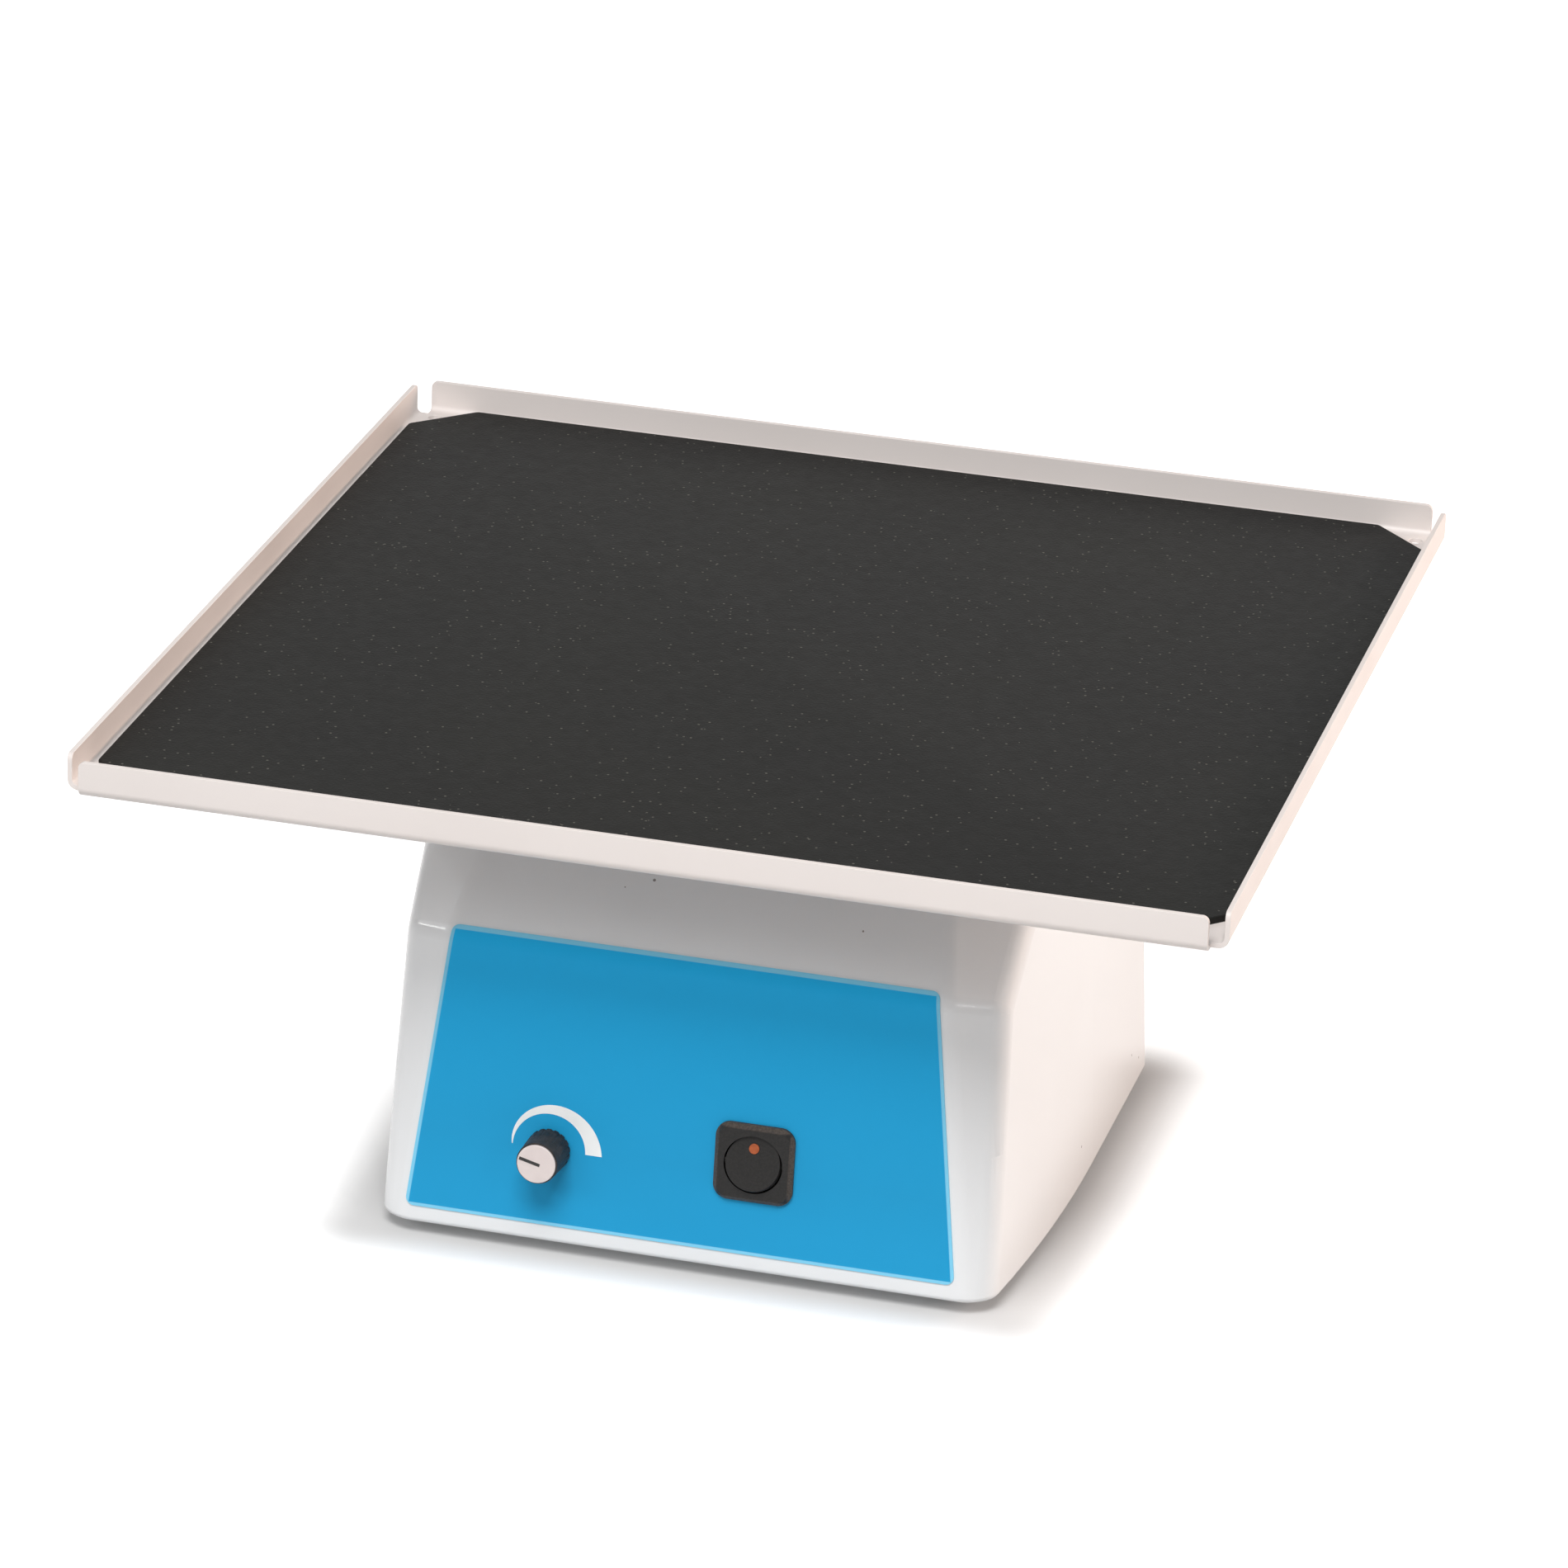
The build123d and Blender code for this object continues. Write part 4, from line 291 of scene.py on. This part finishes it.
def label_finish():
    """Screen-printed polycarbonate film: satin blue with a light border of a millimetre, and painted light
    that makes the blue paler upwards, against the tray's shade on the film's top.

    The border is where the least distance to the film's four edges is under a millimetre.
    """
    material, tree, shader, place = new_surface("printed_polycarbonate_film", "#259ecd", 0.45)
    shader.inputs["Specular IOR Level"].default_value = 0.12
    across, up = on_slope(tree, place, FACE_FOOT)
    centred = add(tree, "Math", {0: across, 1: FILM_SHIFT}, operation="ADD").outputs["Value"]
    side = add(tree, "Math", {0: centred}, operation="ABSOLUTE").outputs["Value"]
    taper = add(tree, "Math", {0: up, 1: FILM_TAPER, 2: side}, operation="MULTIPLY_ADD").outputs["Value"]
    from_side = add(tree, "Math", {0: FILM_HALF_W, 1: taper}, operation="SUBTRACT").outputs["Value"]
    from_top = add(tree, "Math", {0: FILM_TOP, 1: up}, operation="SUBTRACT").outputs["Value"]
    from_foot = add(tree, "Math", {0: up, 1: FILM_FOOT}, operation="SUBTRACT").outputs["Value"]
    ends = add(tree, "Math", {0: from_top, 1: from_foot}, operation="MINIMUM").outputs["Value"]
    margin = add(tree, "Math", {0: ends, 1: from_side}, operation="MINIMUM").outputs["Value"]
    inside = add(tree, "MapRange", {"Value": margin, "From Min": 0.9 * MM, "From Max": 1.1 * MM})
    # Painted light: the blue grows paler from 30 to 90 mm up the face, to lift the film's top out of the
    # tray's shade
    height = add(tree, "MapRange", {"Value": up, "From Min": 30 * MM, "From Max": 90 * MM})
    ink = blend_colours(tree, height.outputs["Result"], "#269fd3", "#26b6f2", 0.0, 1.0)
    parts = {"Factor": inside.outputs["Result"], "A": linear("#86d4f4"), "B": ink}
    printed = add(tree, "Mix", parts, data_type="RGBA").outputs["Result"]
    tree.links.new(printed, shader.inputs["Base Color"])
    emboss(tree, shader, cloud(tree, place, 0.5, 1.0), 0.004)
    return material


def switch_finish():
    """Spark-textured nylon: near black, with a painted highlight that makes the bezel's bevel browner,
    where it catches the light.

    The bevel is where the larger of the distances across and up from the switch's centre passes 10.4 mm.
    """
    material, tree, shader, place = new_surface("spark_textured_nylon", "#1c1b1a", 0.5)
    shader.inputs["Specular IOR Level"].default_value = 0.3
    across, up = on_slope(tree, place, FACE_FOOT + SWITCH_ACROSS * ACROSS + SWITCH_UP * FACE_UP)
    tall = add(tree, "Math", {0: up}, operation="ABSOLUTE").outputs["Value"]
    wide = add(tree, "Math", {0: across}, operation="ABSOLUTE").outputs["Value"]
    rim = add(tree, "Math", {0: tall, 1: wide}, operation="MAXIMUM").outputs["Value"]
    bevel = add(tree, "MapRange", {"Value": rim, "From Min": 10.4 * MM, "From Max": 10.9 * MM})
    grain = cloud(tree, place, 0.6)
    black = blend_colours(tree, grain, "#121110", "#1d1b1a")
    # Painted highlight: a browner tone on the bevel stands in for the light it catches
    painted_bevel_highlight = blend_colours(tree, grain, "#3a322c", "#51473f")
    parts = {"Factor": bevel.outputs["Result"], "A": black, "B": painted_bevel_highlight}
    with_painted_bevel_highlight = add(tree, "Mix", parts, data_type="RGBA").outputs["Result"]
    tree.links.new(with_painted_bevel_highlight, shader.inputs["Base Color"])
    emboss(tree, shader, grain, 0.03)
    return material


finishes = {
    "housing_plastic": housing_finish(),
    # Warm white powder coat: even and satin, with a fine orange peel
    "tray_paint": moulded("white_powder_coat", "#e5ddd9", "#e8e0dc", 0.42, 0.9, 0.012, blotch=80.0),
    "mat_rubber": mat_finish(),
    # Moulded rubber feet: dull black with a slight grain
    "foot_rubber": moulded("moulded_black_rubber", "#1b1b1a", "#242422", 0.7, 0.6, 0.05),
    "label_film": label_finish(),
    # Phenolic knob: brownish black, slightly mottled by its filler
    "knob_plastic": moulded("black_phenolic_moulding", "#221d1a", "#38302b", 0.5, 0.35, 0.02, blotch=2.5,
                            Specular_IOR_Level=0.3),
    # Pale satin cap pressed into the knob, nearly plain
    "knob_cap_plastic": moulded("pale_satin_cap", "#dccfcc", "#e2d6d2", 0.4, 0.4, 0.008, blotch=6.0),
    # Ink filled into the pointer's groove: flat black
    "pointer_ink": moulded("black_pointer_fill", "#161514", "#201e1d", 0.5, 0.4, 0.01, blotch=3.0),
    "switch_plastic": switch_finish(),
    # Unlit lens of the rocker: dull amber
    "lens_plastic": moulded("amber_lens", "#9c4a22", "#b25a2e", 0.35, 0.5, 0.01, blotch=2.0),
    # Glass-filled nylon of the inlet: black with faint grey flow marks
    "inlet_plastic": moulded("black_glass_filled_nylon", "#1d1d1d", "#262626", 0.48, 0.4, 0.02, blotch=8.0),
    # Nickel on the inlet's pins: bright and slightly warm
    "pin_nickel": brushed("nickel_plated_brass", "#c9c5b8", "#dedace", 0.22),
    # Zinc-plated sheet: cool grey with long rolling lines
    "steel_sheet": brushed("zinc_plated_sheet", "#b4b8bb", "#cdd0d2", 0.36, pitch=16.0),
    # Turned shafts and pins: rings that streak the highlight
    "steel": turned("turned_steel", "#a9aaab", "#c6c7c8", 0.28, (0, AXIS_Y)),
    # Screws: short fine marks
    "screw_steel": brushed("zinc_plated_screw", "#b2b4b6", "#d0d1d2", 0.3, pitch=3.0),
    # Ground bearing rings: the brightest steel, with wide faint rings
    "bearing_steel": turned("ground_bearing_steel", "#b9babb", "#dadbdc", 0.16, (0, 0), pitch=1.2),
    # Turned pulleys and housings: pale, soft ringed highlights
    "aluminium": turned("turned_aluminium", "#c9cacc", "#dfe0e1", 0.3, (0, AXIS_Y)),
    # Cast carriage: matt and sandy, with no lines
    "cast_aluminium": moulded("sand_cast_aluminium", "#a7a8aa", "#bbbcbe", 0.55, 0.8, 0.08, Metallic=1.0),
    # Stoved enamel on the motor: smooth black with a low sheen
    "motor_steel": moulded("black_stoved_enamel", "#1b1c1d", "#242526", 0.35, 1.2, 0.02),
    # Round drive belt: dull black
    "belt_rubber": moulded("black_belt_rubber", "#1a1a1a", "#222221", 0.65, 0.5, 0.03),
    # Plated case of the speed control: yellowish grey
    "pot_metal": brushed("plated_pot_case", "#bdb8a8", "#d2cdbd", 0.3, pitch=4.0),
    # Lacquered circuit board: glossy green with a faint weave
    "board_laminate": moulded("green_lacquered_laminate", "#14522c", "#1d6a3a", 0.3, 1.5, 0.02, blotch=3.0),
    # Turned brass standoffs: warm yellow
    "standoff_brass": brushed("turned_brass", "#c6a45a", "#d8b86e", 0.28, pitch=3.0),
    # Moulded epoxy of the components: blue-black
    "component_plastic": moulded("epoxy_component", "#1d1d22", "#2a2a30", 0.4, 0.5, 0.01, blotch=5.0),
    # Varnished iron laminations of the transformer: dark brown
    "core_steel": moulded("varnished_laminations", "#3a3633", "#4a4541", 0.45, 1.0, 0.05),
    # Taped winding: amber yellow with slight ridges
    "coil_copper": moulded("taped_winding", "#b98d2f", "#cfa548", 0.45, 2.0, 0.04, blotch=5.0),
}
slot_of = {entry["node"]: entry["material_slot"] for entry in frame["record"]["subparts"]}
for node, solid in frame["nodes"].items():
    solid.data.materials.clear()
    solid.data.materials.append(finishes[slot_of[node]])


def finish(piece, body, slot_name, material=None):
    """Give a new piece its body, and the material of the named slot or another."""
    piece.data.materials.clear()
    piece.data.materials.append(material or finishes[slot_name])
    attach(piece, body)


# Label: the film reaches a little higher than its flat solid and wraps over the bend under the brow
def wrapped_film():
    """Film whose top moves up; above the bend a point at height s turns by (s - bend) / radius."""
    piece = merged_copy("front_label", "label_film_sheet")
    foot = Vector(FACE_FOOT)
    up = Vector(FACE_UP)
    out = Vector(FACE_OUT)
    top_zone = BEND_AT - 3 * MM
    made = bmesh.new()
    made.from_mesh(piece.data)
    for point in made.verts:
        if (point.co - foot).dot(up) > top_zone:
            point.co += FILM_RAISE * up
            point.co.x -= np.sign(point.co.x) * FILM_TAPER * FILM_RAISE
    for step in range(BEND_CUTS):
        place = foot + (BEND_AT + step * BEND_STEP) * up
        everything = made.verts[:] + made.edges[:] + made.faces[:]
        bmesh.ops.bisect_plane(made, geom=everything, plane_co=place, plane_no=up)
    for point in made.verts:
        local = point.co - foot
        over = local.dot(up) - BEND_AT
        if over > 0:
            turn = min(over / BEND_R, BEND_TURN)
            past = max(over - BEND_R * BEND_TURN, 0)
            along = BEND_AT + BEND_R * sin(turn) + past * cos(turn) + local.dot(out) * sin(turn)
            away = BEND_R * (cos(turn) - 1) - past * sin(turn) + local.dot(out) * cos(turn)
            point.co = foot + Vector((local.x, 0, 0)) + along * up + away * out
    made.to_mesh(piece.data)
    made.free()
    shade(piece, 30)
    return piece


finish(wrapped_film(), "base", "label_film")

# Tray: the folded sheet with its coated edges rounded
finish(softened("tray", "tray_coated", 0.35), "platform", "tray_paint")

# Mat: an eight-sided sheet whose outline moves in as its edge rolls over
MAT_CUT = 17.5 * MM
MAT_EDGE = 0.6 * MM
CUT_PER_INSET = 0.586


def octagon(half, cut, z, corner=0.8 * MM, steps=4):
    """Square of the given half width with cut corners, each turn rounded by a short arc."""
    corners = np.array([[half, half - cut], [half - cut, half], [cut - half, half], [-half, half - cut],
                        [-half, cut - half], [cut - half, -half], [half - cut, -half], [half, cut - half]])
    before = np.roll(corners, 1, axis=0) - corners
    after = np.roll(corners, -1, axis=0) - corners
    before /= np.linalg.norm(before, axis=1)[:, None]
    after /= np.linalg.norm(after, axis=1)[:, None]
    t = np.linspace(0, 1, steps + 1)[None, :, None]
    curve = corners[:, None] + corner * ((1 - t) ** 2 * before[:, None] + t ** 2 * after[:, None])
    points = curve.reshape(-1, 2)
    return np.column_stack([points, np.full(len(points), z)])


def mat_sheet():
    """Rings of the octagon from the underside up the edge, over its round and in to the top.

    An inset of d keeps the slanted sides parallel when the cut shrinks by 2 minus root 2 of d.
    """
    low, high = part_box("mat")
    turn = np.linspace(0, pi / 2, 6)
    inset = np.concatenate([[0.0], MAT_EDGE * (1 - np.cos(turn))])
    height = np.concatenate([[low.z], high.z - MAT_EDGE + MAT_EDGE * np.sin(turn)])
    rings = [octagon(high.x - d, MAT_CUT - CUT_PER_INSET * d, z) for d, z in zip(inset, height)]
    return skin("mat_sheet", np.array(rings), smooth=50)


mat = mat_sheet()
finish(mat, "platform", "mat_rubber")
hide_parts("mat")

# Speed scale: a white printed band that widens clockwise round the knob
SCALE_POINTS = 72
SCALE_INNER_R = 11.05 * MM


def on_face(across, up, out):
    """Points on the sloping face from arrays of across, up and out, in metres."""
    return FACE_FOOT + across[..., None] * ACROSS + up[..., None] * FACE_UP + out[..., None] * FACE_OUT


def speed_scale():
    """Band from 11 mm to a radius that grows from 11.3 to 16 mm over half a turn, lifted off the film."""
    turn = np.linspace(pi * 0.99, 0.0, SCALE_POINTS)
    share = np.linspace(0, 1, SCALE_POINTS)
    inner = np.full(SCALE_POINTS, SCALE_INNER_R)
    outer = inner + (0.25 + 4.75 * share ** 0.9) * MM
    low, high = FILM_T, FILM_T + 0.04 * MM
    radius = np.stack([inner, outer, outer, inner], axis=1)
    lift = np.broadcast_to(np.array([low, low, high, high]), radius.shape)
    across = KNOB_ACROSS + radius * np.cos(turn)[:, None]
    up = KNOB_UP + radius * np.sin(turn)[:, None]
    return skin("speed_scale", on_face(across, up, lift), smooth=20)


# Screen ink of the scale: flat clean white
ink = moulded("white_screen_ink", "#f4f6f6", "#fbfcfc", 0.45, 0.4, 0.004, blotch=8.0)
finish(speed_scale(), "base", "label_film", ink)


# Floor: white where it is seen, and with painted shade near the housing's foot: its glow falls off there,
# so the floor darkens round the housing and the lamps' shadow shows there
def seen_directly(tree):
    """One for a ray from the camera, a reflection or a transmission, and nought for light itself."""
    rays = add(tree, "LightPath", {}).outputs
    first = add(tree, "Math", {0: rays["Is Camera Ray"], 1: rays["Is Glossy Ray"]}, operation="MAXIMUM")
    both = {0: first.outputs["Value"], 1: rays["Is Transmission Ray"]}
    return add(tree, "Math", both, operation="MAXIMUM").outputs["Value"]


FLOOR_HALF = 6
FOOTPRINT_MIDDLE_Y = -10 * MM
FOOTPRINT_HALF = (96 * MM, 88 * MM, 1)
SHADOW_REACH = 34 * MM


def paper_floor():
    """Paper that glows by 0.1 at the footprint and by 0.9 at the shadow's reach outside it."""
    a = FLOOR_HALF
    floor = link("floor", [(-a, -a, 0), (a, -a, 0), (a, a, 0), (-a, a, 0)], [(0, 1, 2, 3)])
    paper, tree, shader, place = new_surface("white_paper_sweep", "#cccccc", 0.9)
    through = seen_directly(tree)
    moved = add(tree, "Mapping", {"Vector": place, "Location": (0, -FOOTPRINT_MIDDLE_Y, 0)})
    reach = add(tree, "VectorMath", {0: moved.outputs["Vector"]}, operation="ABSOLUTE").outputs["Vector"]
    beyond = add(tree, "VectorMath", {0: reach, 1: FOOTPRINT_HALF}, operation="SUBTRACT").outputs["Vector"]
    outside = add(tree, "VectorMath", {0: beyond, 1: (0, 0, 0)}, operation="MAXIMUM").outputs["Vector"]
    away = add(tree, "VectorMath", {0: outside}, operation="LENGTH").outputs["Value"]
    # Painted shade: the glow is weakest at the footprint and rises to 0.9 at the shadow's reach
    levels = {"Value": away, "From Max": SHADOW_REACH, "To Min": 0.1, "To Max": 0.9}
    whiter = add(tree, "MapRange", levels, interpolation_type="SMOOTHERSTEP")
    glow = add(tree, "Emission", {"Color": (1, 1, 1, 1), "Strength": whiter.outputs["Result"]})
    nothing = add(tree, "Emission", {"Strength": 0.0})
    lit = add(tree, "MixShader", {0: through, 1: nothing.outputs[0], 2: glow.outputs[0]})
    both = add(tree, "AddShader", {0: shader.outputs[0], 1: lit.outputs[0]})
    tree.links.new(both.outputs[0], tree.nodes["Material Output"].inputs["Surface"])
    floor.data.materials.append(paper)


AMBIENT = 0.09
SEEN_WHITE = 1.0


def studio_world():
    """White where it is seen, and a weak even light on the object."""
    world = bpy.data.worlds.new("studio")
    world.use_nodes = True
    bpy.context.scene.world = world
    tree = world.node_tree
    level = add(tree, "MapRange", {"Value": seen_directly(tree), "To Min": AMBIENT, "To Max": SEEN_WHITE})
    tree.links.new(level.outputs["Result"], tree.nodes["Background"].inputs["Strength"])
    tree.nodes["Background"].inputs["Color"].default_value = (1, 1, 1, 1)


def lamp(name, place, aim, size, watts, colour="#ffffff"):
    """Rectangular soft lamp that faces the given point."""
    data = bpy.data.lights.new(name, "AREA")
    data.shape = "RECTANGLE"
    data.size, data.size_y = size
    data.energy = watts
    data.color = linear(colour)[:3]
    light = bpy.data.objects.new(name, data)
    light.location = place
    light.rotation_euler = (Vector(aim) - Vector(place)).to_track_quat("-Z", "Y").to_euler()
    bpy.context.scene.collection.objects.link(light)
    return light


paper_floor()
studio_world()

# Lamps, in metres and watts: a warm key from the right, two soft keys on the face, which the tray
# shades at the brow, and two narrow strips whose glints run down the rounded corners
HOUSING_MIDDLE = (0, 0, 0.09)
lamp("side_key", (1.9, 1.35, 0.62), HOUSING_MIDDLE, (0.9, 0.9), 41, "#ffe8da")
lamp("front_top_key", (0.15, -1.45, 2.0), (0, -0.05, 0.08), (1.1, 0.8), 43)
lamp("front_mid_key", (-0.9, -1.75, 1.3), (0, -0.1, 0.05), (1.3, 0.4), 9).visible_glossy = False
lamp("left_glint", (-1.75, -0.45, 0.85), HOUSING_MIDDLE, (0.12, 0.4), 2.5)
lamp("right_glint", (1.35, -1.3, 0.85), HOUSING_MIDDLE, (0.1, 0.35), 1.7)

# Camera: its place and turn are solved from the straight edges of the tray and the housing
CAMERA_AT = (0.51477, -2.05044, 1.00701)
CAMERA_TURN = radians(14.09)
CAMERA_DROP = radians(22.865)
CAMERA_ROLL = radians(2.135)
SENSOR_MM = 36
LENS_MM = 176.63
level_ahead = Vector((-sin(CAMERA_TURN), cos(CAMERA_TURN), 0))
ahead = cos(CAMERA_DROP) * level_ahead - Vector((0, 0, sin(CAMERA_DROP)))
right = Vector((cos(CAMERA_TURN), sin(CAMERA_TURN), 0))
above = right.cross(ahead)
x_axis = cos(CAMERA_ROLL) * right + sin(CAMERA_ROLL) * above
y_axis = -sin(CAMERA_ROLL) * right + cos(CAMERA_ROLL) * above
camera_data = bpy.data.cameras.new("camera")
camera_data.sensor_width = SENSOR_MM
camera_data.lens = LENS_MM
camera_data.clip_start = 0.05
camera = bpy.data.objects.new("camera", camera_data)
turned_to = Matrix((x_axis, y_axis, -ahead)).transposed().to_4x4()
camera.matrix_world = Matrix.Translation(CAMERA_AT) @ turned_to
bpy.context.scene.collection.objects.link(camera)
bpy.context.scene.camera = camera
bpy.context.scene.view_settings.view_transform = "Standard"
